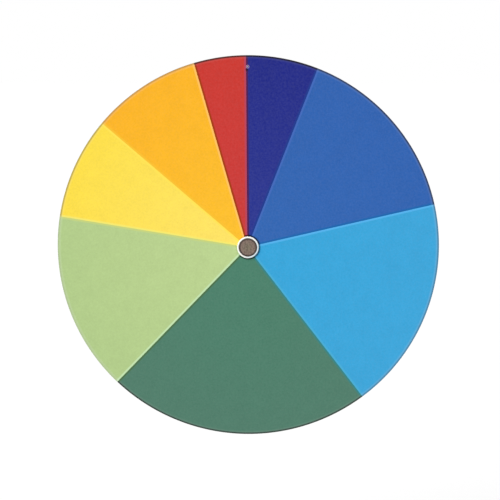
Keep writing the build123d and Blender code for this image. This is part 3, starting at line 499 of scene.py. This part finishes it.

# ------------ cup washer
# White nylon cup washer under the spindle head: its rounded lip is the white ring at the centre. Its
# lower right side carries painted shade and a painted reflection of the blue film.

cup_radius, cup_well_radius, cup_well_depth = 7.12, 6.05, 1.2
cup_front, cup_back = depths("cup_washer")
cup = turned("cup_washer_lip", spindle_z, [
    (cup_back, spindle_hole), (cup_back, cup_radius, 0.1),
    (cup_front, cup_radius, 0.5), (cup_front, cup_well_radius, 0.45),
    (cup_front + cup_well_depth, cup_well_radius, 0.2), (cup_front + cup_well_depth, spindle_hole),
], segments=128)
white_nylon, at = finish("white_nylon", {"Specular IOR Level": 0.4, "IOR": 1.53}, spindle_z)
cloud = noise(at, 1.6)
across, _, up, _ = coordinates(at)
# painted shade and a painted reflection of the blue film on the lower right of the lip
painted_shade_and_reflection = (across * 0.11 - up * 0.07).clamped()
nylon = between(cloud, (246, 246, 238), (254, 254, 248))
paint(white_nylon, {
    "Base Color": between(painted_shade_and_reflection * 0.8, nylon, (178, 206, 222)),
    "Roughness": 0.34 + cloud * 0.1,
    "Normal": relief(noise(at, 0.5), 0.01),
})
dress(cup, white_nylon)
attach(cup, "disc")
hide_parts("cup_washer")

# ------------ spindle
# Headed steel shaft through the disc and both bearings, with a groove for its clip at the back. The
# flat head is matt and grey-brown, with fine rings from facing it off, and a painted shade band round
# its edge where it sits in the cup washer.

head_radius, head_depth, shaft_radius, groove_radius = 5.9, 1.2, 4.0, 3.6
spindle_front, spindle_back = depths("spindle")
clip_front, clip_back = depths("spindle_circlip")
spindle = turned("headed_spindle", spindle_z, [
    (spindle_front, 0), (spindle_front, head_radius, 0.35),
    (spindle_front + head_depth, head_radius), (spindle_front + head_depth, shaft_radius),
    (clip_front, shaft_radius), (clip_front, groove_radius),
    (clip_back, groove_radius), (clip_back, shaft_radius),
    (spindle_back, shaft_radius, 0.5), (spindle_back, 0),
], segments=128)
spindle_steel, at = finish("spindle_steel", {"Specular IOR Level": 0.3}, spindle_z)
_, depth, _, reach = coordinates(at)
on_head = ((spindle_front + 1.9 - depth) * 40.0).clamped()
facing = rings(reach, 0.5)
speckle = noise(at, 1.3, 3.0, 0.75)
# painted shade band round the edge of the head, where it sits in the cup washer
painted_head_edge_shade = ((reach - 4.75) * 3.0).clamped() * 0.72
face = between((reach / 6.0).clamped(), (121, 112, 93), (137, 114, 106))
face = between((facing * 1.2 + speckle * 3.0 - 1.95).clamped(), face, (46, 38, 34))
paint(spindle_steel, {
    "Base Color": between(
        on_head,
        between(facing, (168, 168, 170), (196, 196, 198)),
        between(painted_head_edge_shade, face, (34, 27, 23)),
    ),
    "Metallic": 1 - on_head * 0.85,
    "Roughness": 0.24 + on_head * 0.3 + speckle * 0.08,
    "Normal": relief(facing * 0.6 + speckle * 0.4, 0.02),
})
dress(spindle, spindle_steel)
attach(spindle, "disc")
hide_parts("spindle")

# ------------ disc hub
# Turned aluminium hub behind the disc. Four countersunk screws run through the disc into its flange,
# and a grub screw in its boss bites on the spindle.


def machined(name, dark, pale, height, pitch=0.5, rough=0.22):
    """Turned metal: fine uneven rings on faces and barrels alike, and duller patches."""
    material, at = finish(name, {"Metallic": 1.0}, height)
    _, depth, _, reach = coordinates(at)
    marks, patches = rings(reach + depth, pitch), noise(at, 7.0)
    paint(material, {
        "Base Color": between(marks * 0.6 + patches * 0.4, dark, pale),
        "Roughness": marks * 0.14 + patches * 0.12 + (rough - 0.1),
        "Normal": relief(marks, 0.012),
    })
    return material


def cross_drill(height, depth, radius, start, end):
    """A drill that runs across, along X, at a depth and a height."""
    turns = [2 * pi * s / 40 for s in range(40)]
    points = [(x, depth + radius * sin(t), height + radius * cos(t)) for x in (start, end) for t in turns]
    return piece_from("drill", points, lidded(2, len(turns)))


flange_radius, flange_depth, boss_radius, grub_hole = 30.0, 4.0, 12.0, 2.05
hub_front, hub_back = depths("disc_hub")
flange_back = hub_front + flange_depth
hub = turned("hub_flange_and_boss", spindle_z, [
    (hub_front, spindle_hole), (hub_front, flange_radius, 0.2),
    (flange_back, flange_radius, 0.6), (flange_back, boss_radius, 0.6),
    (hub_back, boss_radius, 0.5), (hub_back, spindle_hole, 0.4),
], segments=144)
drills = [cross_drill(spindle_z, (flange_back + hub_back) / 2, grub_hole, 2.0, 14.0)]
eased_hole = [(hub_front - 1, hole), (flange_back - 0.25, hole), (flange_back + 0.25, hole + 0.5)]
drills += [bit(height, eased_hole, 40, x) for x, height in hub_screw_places]
carve(hub, drills)
dress(hub, machined("hub_aluminium", (176, 178, 182), (214, 215, 218), spindle_z, 0.45, 0.26))
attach(hub, "disc")
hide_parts("disc_hub")

# ------------ disc screws
# Four zinc-plated countersunk screws. Their heads lie under the films, and their ends show in the
# flange from behind. One screw is turned and then repeated round the axis.


def new_tree(name, inputs):
    """An empty Geometry Nodes tree with a geometry in and out and named inputs."""
    tree = bpy.data.node_groups.new(name, "GeometryNodeTree")
    tree.interface.new_socket("Geometry", in_out="INPUT", socket_type="NodeSocketGeometry")
    for label, kind in inputs.items():
        tree.interface.new_socket(label, in_out="INPUT", socket_type="NodeSocket" + kind)
    tree.interface.new_socket("Geometry", in_out="OUTPUT", socket_type="NodeSocketGeometry")
    return Wire(tree).node("NodeGroupInput", out="Geometry")


def close_tree(given, copies):
    """Make the copies real, weld them where they meet and give them the finish."""
    real = given.node("GeometryNodeRealizeInstances", {"Geometry": copies})
    welded = given.node("GeometryNodeMergeByDistance", {"Geometry": real, "Distance": 2e-6})
    sockets = {"Geometry": welded, "Material": given.out("Finish")}
    dressed = given.node("GeometryNodeSetMaterial", sockets)
    result = given.tree.nodes.new("NodeGroupOutput")
    given.tree.links.new(dressed.socket, result.inputs["Geometry"])


def vector(given, x=0.0, y=0.0, z=0.0):
    """A vector from numbers or wires."""
    return given.node("ShaderNodeCombineXYZ", {"X": x, "Y": y, "Z": z})


def round_axis_tree():
    """Copies of a piece, evenly round the turning axis at a height."""
    given = new_tree("copies_round_axis", {
        "Count": "Int", "Height": "Float", "First Turn": "Float", "Finish": "Material",
    })
    count, height = given.out("Count"), given.out("Height")
    centred = given.node("GeometryNodeTransform", {
        "Geometry": given, "Translation": vector(given, z=0 - height),
    })
    places = given.node("GeometryNodeMeshLine", {
        "Count": count, "Start Location": vector(given, z=height), "Offset": (0, 0, 0),
    })
    turn = given.node("GeometryNodeInputIndex") * (2 * pi) / count + given.out("First Turn")
    close_tree(given, given.node("GeometryNodeInstanceOnPoints", {
        "Points": places, "Instance": centred, "Rotation": vector(given, y=turn),
    }))
    return given.tree


def grown(piece, tree, values):
    """Run a tree with named inputs on a piece, and keep the result as a plain mesh."""
    growth = piece.modifiers.new("growth", "NODES")
    growth.node_group = tree
    for item in tree.interface.items_tree:
        if item.in_out == "INPUT" and values.get(item.name) is not None:
            growth[item.identifier] = values[item.name]
    bake(piece)
    mended(piece.data, outward=True)
    return piece


def round_axis(piece, count, height, first_turn=0.0, material=None):
    """Repeat a piece evenly round the axis at a height."""
    return grown(piece, copies_round_axis, {
        "Count": count, "Height": height * MM, "First Turn": first_turn, "Finish": material,
    })


copies_round_axis = round_axis_tree()
zinc_steel, at = finish("zinc_steel", {"Metallic": 1.0})
bloom, spangle = noise(at, 2.2, 3.0), noise(at, 0.35)
paint(zinc_steel, {
    "Base Color": between(bloom * 0.7 + spangle * 0.3, (158, 163, 170), (205, 208, 212)),
    "Roughness": bloom * 0.2 + spangle * 0.1 + 0.16,
    "Normal": relief(spangle, 0.006),
})
hub_screws = turned("hub_screws", spindle_z + hub_screw_circle, [
    (disc_front, 0), (disc_front, hub_screw_head, 0.1),
    (disc_front + hub_screw_head - hub_screw_radius, hub_screw_radius),
    (flange_back, hub_screw_radius, 0.35), (flange_back, 0),
], segments=48)
round_axis(hub_screws, 4, spindle_z, radians(45), zinc_steel)
dress(hub_screws, zinc_steel)
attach(hub_screws, "disc")
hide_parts("disc_screws")

# ------------ pinion
# Steel pinion of 17 teeth on the spindle, between the plates, with a plain boss for its grub screw.

tooth_module, pressure_angle, tooth_backlash, tooth_fillet = 1.25, radians(20), 0.16, 0.35


def tooth_pitch(teeth):
    """One pitch of a spur gear as (turn, radius): gap, root fillet, involute flank, tip and back."""
    pitch = tooth_module * teeth / 2
    base, root, tip = pitch * cos(pressure_angle), pitch - 1.25 * tooth_module, pitch + tooth_module
    foot = max(root, base)

    def half_turn(radius):
        roll = acos(min(1.0, base / radius))
        at_pitch = pi / (2 * teeth) - tooth_backlash / (4 * pitch)
        return at_pitch + (tan(pressure_angle) - pressure_angle) - (tan(roll) - roll)

    flank = [(half_turn(radius), radius) for radius in (foot + (tip - foot) * k / 6 for k in range(7))]
    flank[0] = (half_turn(foot), max(foot, root + tooth_fillet * 0.6))
    side = [
        (half_turn(foot) + share * tooth_fillet / root, root + tooth_fillet * rise)
        for share, rise in ((1, 0), (0.25, 0.2))
    ] + flank
    left = [(-pi / teeth, root)] + [(-turn, radius) for turn, radius in side]
    return left + [(0.0, tip)] + side[::-1] + [(pi / teeth, root)]


def toothed_ring(name, height, teeth, front, back, inner, material):
    """A ring of teeth: one pitch, repeated round the axis."""
    ease, outline = 0.25, tooth_pitch(teeth)
    points = [
        (reach * sin(turn), depth, height + reach * cos(turn))
        for turn, radius in outline for depth, reach in (
            *both_ends(front, back, [(0, radius - ease), (ease, radius)]), (back, inner), (front, inner),
        )
    ]
    return round_axis(piece_from(name, points, skin(len(outline), 6)), teeth, height, material=material)


pinion_tooth_count, pinion_inner, pinion_core_radius = 17, 6.0, 6.8
pinion_boss_radius, pinion_boss_depth = 8.5, 8.0
pinion_steel = machined("bright_steel_on_spindle", (150, 151, 154), (196, 197, 199), spindle_z, 0.4, 0.24)
pinion_front, pinion_boss_back = depths("pinion")
pinion_back = pinion_boss_back - pinion_boss_depth
pinion = toothed_ring(
    "pinion_teeth", spindle_z, pinion_tooth_count, pinion_front, pinion_back, pinion_inner, pinion_steel)
carve(pinion, [turned("pinion_core", spindle_z, [
    (pinion_front + 0.02, spindle_hole, 0.3), (pinion_front + 0.02, pinion_core_radius),
    (pinion_back - 0.4, pinion_core_radius), (pinion_back - 0.4, pinion_boss_radius),
    (pinion_boss_back, pinion_boss_radius, 0.5), (pinion_boss_back, spindle_hole, 0.3),
])], "UNION")
carve(pinion, [cross_drill(spindle_z, (pinion_back + pinion_boss_back) / 2, grub_hole, 2.0, 12.0)])
dress(pinion, pinion_steel)
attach(pinion, "disc")
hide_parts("pinion")

# ------------ small parts on the spindle
# A steel thrust washer between the hub and the front bearing, a thin one and a black spring clip
# behind the rear bearing, and a black grub screw in each boss. They keep the shapes they came with.


def repaint(material, *nodes):
    """Give pieces that keep their shapes a better material."""
    for node in nodes:
        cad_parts[node].material_slots[0].material = material


black_steel, at = finish("black_steel", {"Metallic": 0.7})
bloom = noise(at, 1.4, 3.0)
paint(black_steel, {
    "Base Color": between(bloom, (34, 34, 37), (58, 57, 58)),
    "Roughness": bloom * 0.2 + 0.3,
    "Normal": relief(noise(at, 0.3), 0.006),
})
repaint(black_steel, "hub_grub_screw", "pinion_grub_screw", "spindle_circlip")
repaint(pinion_steel, "spindle_thrust_washer", "spindle_rear_washer")

# ------------ gear frame plates
# Two 4 mm steel plates cut to a rounded triangle, with two windows to save weight, drilled for the
# bearings and pillars, edges broken, and enamelled in grey hammer finish.

crank_z, rod_z, lower_x = -115.75, 0.0, 62.375
pillar_places = [(-22.0, -26.0), (22.0, -26.0), (-lower_x, crank_z), (lower_x, crank_z)]
plate_corners = [(0, rod_z, 20.0), (0, crank_z, 25.0)]
plate_corners += [(x, crank_z, 10.0) for x in (-lower_x, lower_x)]
window_x, window_z, window_radius = 31.0, -83.875, 11.0
spindle_bush_hole, crank_bush_hole, rod_hole, pillar_hole = 6.05, 7.05, 4.05, 2.55


def hull_plate(name, circles, layers, steps=72):
    """Flat plate drawn tight round circles of (x, height, radius), from its (depth, inset) layers."""
    turns = [2 * pi * k / steps for k in range(steps)]

    def ring(inset):
        return [(x + (r - inset) * sin(t), z + (r - inset) * cos(t)) for x, z, r in circles for t in turns]

    tight = convex_hull_2d([Vector(place) for place in ring(0)])
    points = [(ring(inset)[i][0], depth, ring(inset)[i][1]) for depth, inset in layers for i in tight]
    return piece_from(name, points, lidded(len(layers), len(tight)))


def drilled(height, radius, front, back, across=0.0, edge=0.3, segments=64):
    """A drill right through, with the edge of the hole broken on both faces."""
    side = both_ends(front, back, [(-0.2, radius + edge + 0.2), (edge, radius)])
    return bit(height, side, segments, across)


plate_enamel, at = finish("plate_enamel", {"Coat Weight": 0.5, "Coat Roughness": 0.18, "Roughness": 0.42})
cells = at.node("ShaderNodeTexVoronoi", {
    "Vector": at, "Scale": 0.4, "Smoothness": 0.5,
}, {"feature": "SMOOTH_F1"})
wear = noise(at, 12.0, 4.0)
paint(plate_enamel, {
    "Base Color": between((cells * 1.1 + wear * 0.4 - 0.3).clamped(), (82, 88, 96), (118, 124, 132)),
    "Metallic": cells.clamped() * 0.25,
    "Normal": relief(cells, 0.16),
})
bush_holes = [(spindle_z, spindle_bush_hole), (crank_z, crank_bush_hole)]
for node, holes in (("front_plate", bush_holes), ("rear_plate", bush_holes + [(rod_z, rod_hole)])):
    front, back = depths(node)
    broken_edge = [(0, 0.5), (0.15, 0.15), (0.5, 0)]
    plate = hull_plate(node + "_enamelled", plate_corners, both_ends(front, back, broken_edge))
    tools = [drilled(height, radius, front, back) for height, radius in holes]
    tools += [drilled(height, pillar_hole, front, back, x) for x, height in pillar_places]
    tools += [drilled(window_z, window_radius, front, back, x, 0.4, 96) for x in (-window_x, window_x)]
    carve(plate, tools)
    dress(plate, plate_enamel)
    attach(plate, "frame")
    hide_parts(node)

# ------------ pillars
# Four turned steel pillars hold the plates apart. One is turned and then repeated at the corners of
# the frame.


def corners_tree():
    """Four copies at the corners of the frame, each at its own chance turn."""
    places = ("Upper X", "Upper Z", "Lower X", "Lower Z")
    kinds = {**dict.fromkeys(places, "Float"), "Seed": "Int", "Finish": "Material"}
    given = new_tree("copies_at_corners", kinds)
    index = given.node("GeometryNodeInputIndex")
    side = index.math("MODULO", index, 2.0) * 2 - 1
    lower = index.math("GREATER_THAN", index, 1.5)
    upper_x, upper_z, lower_x, lower_z = (given.out(place) for place in places)
    line = given.node("GeometryNodeMeshLine", {"Count": 4, "Offset": (0, 0, 0)})
    points = given.node("GeometryNodeSetPosition", {"Geometry": line, "Position": vector(
        given,
        x=side * (upper_x + lower * (lower_x - upper_x)),
        z=upper_z + lower * (lower_z - upper_z),
    )})
    turn = given.node("FunctionNodeRandomValue", {
        2: 0.0, 3: 2 * pi, "ID": index, "Seed": given.out("Seed"),
    }, out=1)
    close_tree(given, given.node("GeometryNodeInstanceOnPoints", {
        "Points": points, "Instance": given, "Rotation": vector(given, y=turn),
    }))
    return given.tree


def at_corners(piece, seed, material):
    """Repeat a piece made at x = 0 and height 0 at the four corners of the frame."""
    (_, upper_z), (upper_x, _), (_, lower_z), (lower_x, _) = pillar_places
    return grown(piece, copies_at_corners, {
        "Upper X": upper_x * MM, "Upper Z": upper_z * MM, "Lower X": lower_x * MM, "Lower Z": lower_z * MM,
        "Seed": seed, "Finish": material,
    })


copies_at_corners = corners_tree()
pillar_steel, at = finish("bright_steel_pillars", {"Metallic": 1.0})
marks, patches = rings(coordinates(at)[1], 0.35), noise(at, 4.0)
paint(pillar_steel, {
    "Base Color": between(marks * 0.5 + patches * 0.5, (150, 151, 153), (198, 199, 200)),
    "Roughness": marks * 0.16 + patches * 0.1 + 0.14,
    "Normal": relief(marks, 0.01),
})
pillar_radius, pillar_bore = 5.0, 2.1
pillar_front, pillar_back = depths("pillars")
pillars = turned("pillars_turned", 0.0, both_ends(pillar_front, pillar_back, [
    (0, pillar_bore, 0.2), (0, pillar_radius, 0.4),
]), segments=64)
at_corners(pillars, 3, pillar_steel)
dress(pillars, pillar_steel)
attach(pillars, "frame")
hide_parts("pillars")

# ------------ pillar screws
# Slotted zinc-plated cheese-head screws hold each plate to the pillars. Their slots stopped at
# chance angles when they were tightened.


def slotted(name, tip, seat, top, shank, head, slot, dome=0.35):
    """A slotted screw at height 0, whose head runs from its seat out to its top."""
    out = 1 if top > seat else -1
    screw = turned(name, 0.0, [
        (tip, 0), (tip, shank, 0.4), (seat, shank), (seat, head, 0.1), (top - out * dome, head, 0.3),
        (top, head * 0.55), (top, 0),
    ], segments=64)
    low, high = sorted((top - out * slot * 1.1, top + out))
    side = [(low, -slot / 2), (low, slot / 2), (high, slot / 2), (high, -slot / 2)]
    corners = [(x, *place) for x in (-head - 1, head + 1) for place in side]
    return carve(screw, [piece_from("blade", corners, lidded(2, 4))])


plate_front, plate_back = depths("front_plate")[0], depths("rear_plate")[1]
screw_length, screw_head_depth = 12.0, 3.2
for node, seat, out, seed in (
    ("pillar_screws_front", plate_front, -1, 11),
    ("pillar_screws_rear", plate_back, 1, 29),
):
    tip, top = seat - out * screw_length, seat + out * screw_head_depth
    screws = slotted(node + "_slotted", tip, seat, top, 2.5, 4.4, 1.2)
    at_corners(screws, seed, zinc_steel)
    dress(screws, zinc_steel)
    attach(screws, "frame")
    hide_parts(node)

# ------------ bushes
# Flanged bushes of sintered bronze, dark with oil in their pores, pressed into the plates. They keep
# the shapes they came with.

for height, nodes in (
    (spindle_z, ("spindle_bush_front", "spindle_bush_rear")),
    (crank_z, ("crank_bush_front", "crank_bush_rear")),
):
    bronze, at = finish("bronze_at_%d" % -height, {"Metallic": 1.0}, height)
    pores, oil = noise(at, 0.25), noise(at, 3.0, 3.0)
    shine = (pores * 0.7 + oil * 0.5 - 0.1).clamped()
    paint(bronze, {
        "Base Color": between(shine, (112, 76, 44), (186, 142, 88)),
        "Roughness": pores * 0.25 + oil * 0.1 + 0.2,
        "Normal": relief(pores, 0.01),
    })
    repaint(bronze, *nodes)

# ------------ stand rod
# A 12 mm ground steel rod for a stand clamp. Its threaded stud passes through the rear plate and a
# plain washer and hexagon nut draw it tight.


def threaded(first, last, radius, pitch, cut):
    """Loop points of a screw thread for lathe, fading out at both ends."""
    count = max(2, round(abs(last - first) / pitch * 8))

    def shape(turn):
        points = []
        for k in range(count + 1):
            y = first + (last - first) * k / count
            wave = abs((y / pitch - turn / (2 * pi)) % 1 * 2 - 1)
            fade = min(1.0, *(abs(y - end) / (0.5 * pitch) for end in (first, last)))
            points.append((y, radius - cut * fade * min(1.0, max(0.0, wave * 1.3 - 0.15))))
        return points

    return shape


rod_radius, stud_radius, nut_width = 6.0, 4.0, 13.0
rod_front, rod_back = depths("stand_rod")
thread = threaded(rod_front + 0.5, plate_back - 4.2, stud_radius, 1.25, 0.6)
shoulder = eased([(plate_back - 4.1, stud_radius), (plate_back, stud_radius), (plate_back, rod_radius, 0.2)])
rod_end = [(rod_back - 1.0, rod_radius), (rod_back - 0.6, 5.9), (rod_back - 0.1, 5.3)]
rod_end += [(rod_back, 5.0), (rod_back, 0)]
rod = lathe("rod_and_stud", rod_z, lambda turn: (
    [(rod_front, 0), (rod_front, 3.4)] + thread(turn) + shoulder[1:] + rod_end
), 72)
dress(rod, machined("bright_steel_rod", (150, 152, 155), (204, 205, 207), rod_z, 0.3, 0.2))
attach(rod, "frame")
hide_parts("stand_rod")


def hexagon_side(turn, front, back):
    """Loop points up the side of a hexagon nut, its ends turned down."""
    radius = nut_width / 2 / cos((turn + pi / 6) % (pi / 3) - pi / 6)
    circle = nut_width / 2 * 0.97
    drop = max(0.0, radius - circle) * 0.55
    return both_ends(front, back, [(0, circle), (drop, radius)])


nut_front, nut_back = depths("rod_nut")
nut = lathe("rod_nut_hexagon", rod_z, lambda turn: (
    [(nut_front + 0.5, 4.0), (nut_front, 4.5)]
    + hexagon_side(turn, nut_front, nut_back)
    + [(nut_back, 4.5), (nut_back - 0.5, 4.0)]
), 72)
dress(nut, zinc_steel)
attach(nut, "frame")
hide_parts("rod_nut")
repaint(zinc_steel, "rod_washer")

# ------------ drive gear
# Nylon gear of 85 teeth, milky and slightly yellowed, with a thin web, six windows and a thick pad
# that is screwed to the hub.

gear_tooth_count, gear_rim_inner, gear_core_radius = 85, 46.375, 47.0
gear_pad_radius, gear_recess = 20.0, 2.2
gear_window_circle, gear_window_radius, gear_screw_circle = 33.031, 9.0, 14.5
axle_hole, gear_screw_hole = 5.05, 1.55
gear_front, gear_back = depths("drive_gear")
natural_nylon, at = finish("natural_nylon", {
    "IOR": 1.53, "Specular IOR Level": 0.45, "Subsurface Weight": 0.15, "Subsurface Scale": 0.002,
}, crank_z)
cloud, grain = noise(at, 14.0, 3.0), noise(at, 0.6)
paint(natural_nylon, {
    "Base Color": between(cloud * 0.8 + grain * 0.2, (222, 214, 188), (238, 233, 214)),
    "Roughness": cloud * 0.12 + grain * 0.1 + 0.3,
    "Normal": relief(grain, 0.012),
})
gear = toothed_ring(
    "gear_teeth", crank_z, gear_tooth_count, gear_front, gear_back, gear_rim_inner, natural_nylon)
gear_core = turned("gear_core", crank_z, both_ends(gear_front, gear_back, [
    (0, axle_hole, 0.3), (0, gear_pad_radius, 0.4),
    (gear_recess, gear_pad_radius, 0.8), (gear_recess, gear_core_radius),
]), segments=192)
web_front, web_back = gear_front + gear_recess, gear_back - gear_recess
window = drilled(crank_z + gear_window_circle, gear_window_radius, web_front, web_back, edge=0.5)
round_axis(window, 6, crank_z)
screw_z = crank_z + gear_screw_circle
screw_hole = drilled(screw_z, gear_screw_hole, gear_front, gear_back, edge=0.2, segments=32)
round_axis(screw_hole, 4, crank_z, radians(45))
carve(gear_core, [window, screw_hole])
carve(gear, [gear_core], "UNION")
dress(gear, natural_nylon)
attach(gear, "crank")
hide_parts("drive_gear")

# ------------ gear hub
# Aluminium hub screwed to the back of the gear and pinned across the crank axle.

gear_flange_radius, gear_boss_radius, gear_pin_hole = 18.0, 11.0, 1.55
gear_hub_front, gear_hub_back = depths("gear_hub")
gear_hub_step = gear_hub_front + 3.0
gear_hub = turned("gear_hub_turned", crank_z, [
    (gear_hub_front, axle_hole), (gear_hub_front, gear_flange_radius, 0.2),
    (gear_hub_step, gear_flange_radius, 0.4), (gear_hub_step, gear_boss_radius, 0.6),
    (gear_hub_back, gear_boss_radius, 0.5), (gear_hub_back, axle_hole, 0.4),
], segments=128)
screw_hole = drilled(screw_z, gear_screw_hole, gear_hub_front, gear_hub_step, edge=0.15, segments=32)
round_axis(screw_hole, 4, crank_z, radians(45))
pin_depth = (gear_hub_step + gear_hub_back) / 2
carve(gear_hub, [screw_hole, cross_drill(crank_z, pin_depth, gear_pin_hole, -12.0, 12.0)])
dress(gear_hub, machined("hub_aluminium_gear", (172, 174, 178), (212, 213, 216), crank_z, 0.45, 0.26))
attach(gear_hub, "crank")
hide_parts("gear_hub")

# ------------ gear hub screws
# Four small slotted screws from the front of the gear into the hub's flange.

gear_screws = slotted(
    "gear_hub_screws_slotted", gear_hub_step, gear_front, gear_front - 1.8, 1.5, 2.75, 0.7, 0.25)
gear_screws.data.transform(Matrix.Translation((0, 0, screw_z * MM)))
round_axis(gear_screws, 4, crank_z, radians(45), zinc_steel)
dress(gear_screws, zinc_steel)
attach(gear_screws, "crank")
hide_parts("gear_hub_screws")

# ------------ crank axle
# Ground steel axle with flats for the arm, its cross pin, and the thrust washer in front of the
# gear. They keep the shapes they came with.

axle_steel = machined("bright_steel_on_crank", (150, 151, 154), (200, 201, 203), crank_z, 0.3, 0.2)
repaint(axle_steel, "crank_axle", "gear_pin", "axle_thrust_washer")

# ------------ crank arm
# Satin nickel-plated steel arm with rounded edges on a turned boss, polished along its length. Its
# lower end takes the riveted grip pin.

grip_z = -175.75
arm_top_radius, arm_end_radius, arm_thickness, arm_ease, arm_boss_radius = 12.0, 9.0, 5.0, 0.8, 10.0
tang_hole, flat_half_width, rivet_radius = 4.05, 3.25, 3.05
arm_front, arm_back = depths("crank_arm")
arm_face = arm_back - arm_thickness
fillet = [
    (arm_ease - arm_ease * cos(radians(a)), arm_ease - arm_ease * sin(radians(a))) for a in range(0, 91, 18)
]
arm_circles = [(0, crank_z, arm_top_radius), (0, grip_z, arm_end_radius)]
arm = hull_plate("crank_arm_plate", arm_circles, both_ends(arm_face, arm_back, fillet), steps=120)
arm_boss_back = arm_face + 0.6
carve(arm, [turned("boss", crank_z, [
    (arm_front, 0), (arm_front, arm_boss_radius, 0.5), (arm_boss_back, arm_boss_radius), (arm_boss_back, 0),
], segments=120)], "UNION")


def tang_side(turn):
    """Loop of the hole for the flatted end of the axle."""
    radius = min(tang_hole, flat_half_width / max(1e-6, abs(sin(turn))))
    return [(arm_face - 0.5, 0), (arm_face - 0.5, radius), (arm_back + 1, radius), (arm_back + 1, 0)]


axle_side = [(arm_front - 1, 6.35), (arm_front + 0.3, axle_hole), (arm_face, axle_hole)]
rivet_side = [(arm_face - 1, 5.65), (arm_face + 1.6, rivet_radius), (arm_back + 1, rivet_radius)]
tang_drill = lathe("drill", crank_z, tang_side, 120)
carve(arm, [bit(crank_z, axle_side, 72), tang_drill, bit(grip_z, rivet_side, 72)])
nickel, at = finish("nickel", {"Metallic": 1.0}, crank_z)
grain = noise(position(nickel, crank_z, (1.0, 1.0, 0.03)), 0.25)
haze = noise(at, 9.0, 3.0)
paint(nickel, {
    "Base Color": between(haze * 0.6 + grain * 0.4, (188, 180, 166), (222, 216, 205)),
    "Roughness": grain * 0.14 + haze * 0.12 + 0.14,
    "Normal": relief(grain, 0.004),
})
dress(arm, nickel)
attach(arm, "crank")
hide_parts("crank_arm")

# ------------ cap nut
# Domed nickel-plated nut over a plain zinc washer closes the end of the axle.

cap_front, cap_back = depths("arm_cap_nut")
cap_step, dome_centre, dome = cap_front + 6.5, cap_front + 8.0, 5.6
cap_bore_back = cap_step + 1.5
cap_nut = lathe("cap_nut_domed", crank_z, lambda turn: (
    [(cap_front + 0.5, 4.05), (cap_front, 4.5)]
    + hexagon_side(turn, cap_front, cap_step)
    + [(cap_step, dome + 0.3), (cap_step + 0.1, dome + 0.06), (cap_step + 0.4, dome)]
    + [(dome_centre + dome * sin(a * pi / 24), dome * cos(a * pi / 24)) for a in range(12)]
    + [(cap_back, 0), (cap_bore_back, 0), (cap_bore_back, 4.05)]
), 72)
dress(cap_nut, machined("nickel_turned", (188, 180, 166), (224, 218, 208), crank_z, 0.4, 0.18))
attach(cap_nut, "crank")
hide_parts("arm_cap_nut")
repaint(zinc_steel, "arm_washer")

# ------------ grip pin
# Steel pin with a domed head, riveted in the arm, and a plain washer at each end of the grip. They
# keep the shapes they came with.

repaint(machined("bright_steel_grip_pin", (150, 151, 154), (202, 203, 205), grip_z, 0.3, 0.2), "grip_pin")
repaint(zinc_steel, "grip_front_washer", "grip_end_washer")

# ------------ grip
# Beech handle turned to a slim neck and a fuller belly, bored right through, with a socket for the
# pin's head. The grain runs along it with short dark flecks, under a thin clear lacquer.

grip_front, grip_back = depths("grip")
tail = 3.0
swell = [(grip_front + 9.0, 10.6, 0.0), (grip_back - 28.0, 13.5, 0.0245), (grip_back - tail, 11.5, -0.2)]


def along_swell(first, last, steps):
    """Smooth curve between two stations of (depth, radius, slope)."""
    (y0, r0, slope0), (y1, r1, slope1) = first, last
    run, points = y1 - y0, []
    for t in (k / steps for k in range(steps)):
        leaving = (r0 * (1 + 2 * t) + run * slope0 * t) * (1 - t) ** 2
        arriving = (r1 * (3 - 2 * t) + run * slope1 * (t - 1)) * t * t
        points.append((y0 + run * t, leaving + arriving))
    return points


tail_round = [
    (grip_back - tail + tail * sin(radians(a)), 8.5 + tail * cos(radians(a))) for a in range(0, 91, 15)
]
grip_bore, neck_radius, socket_radius, socket_depth, shoulder_depth = 4.1, 9.3, 7.5, 6.0, swell[0][0]
grip = turned("grip_turned", grip_z, (
    [(grip_front, grip_bore, 0.3), (grip_front, neck_radius), (shoulder_depth, neck_radius)]
    + [(shoulder_depth, 10.35), (shoulder_depth + 0.25, 10.6)]
    + along_swell(swell[0], swell[1], 24)[1:] + along_swell(swell[1], swell[2], 16) + tail_round
    + [(grip_back, socket_radius, 0.4), (grip_back - socket_depth, socket_radius, 0.3)]
    + [(grip_back - socket_depth, grip_bore)]
))
beech, at = finish(
    "beech", {"Coat Weight": 0.35, "Coat Roughness": 0.22, "Specular IOR Level": 0.35}, grip_z)
drift, pores, spots = (
    noise(position(beech, grip_z, (1.0, along, 1.0)), size, detail)
    for along, size, detail in ((0.05, 5.0, 2.0), (0.09, 0.22, 2.0), (0.22, 0.55, 1.0))
)
across, _, up, _ = coordinates(at)
years = rings(((across + 31.0) ** 2 + (up - 18.0) ** 2) ** 0.5 + drift * 2.4, 1.5)
flecks = ((spots - 0.66) * 9.0).clamped()
wood = between((years * 1.3 - 0.15).clamped(), (180, 122, 74), (218, 166, 112))
wood = between(pores * 0.35, wood, (150, 96, 56))
paint(beech, {
    "Base Color": between(flecks * 0.7, wood, (128, 76, 42)),
    "Roughness": pores * 0.16 + years * 0.1 + 0.32,
    "Normal": relief(pores, 0.02),
})
dress(grip, beech)
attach(grip, "grip")
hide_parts("grip")

# ------------ grip ferrule
# Thin nickel-plated ferrule, pressed on the front end of the grip, its rims rolled.

ferrule_radius, ferrule_bore = 10.05, 9.35
ferrule_front, ferrule_back = depths("grip_ferrule")
ferrule = turned("ferrule_rolled", grip_z, both_ends(ferrule_front, ferrule_back, [
    (0, ferrule_bore), (0, ferrule_radius, 0.35),
]), segments=128)
dress(ferrule, machined("nickel_ferrule", (188, 180, 166), (224, 218, 208), grip_z, 0.35, 0.18))
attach(ferrule, "grip")
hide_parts("grip_ferrule")
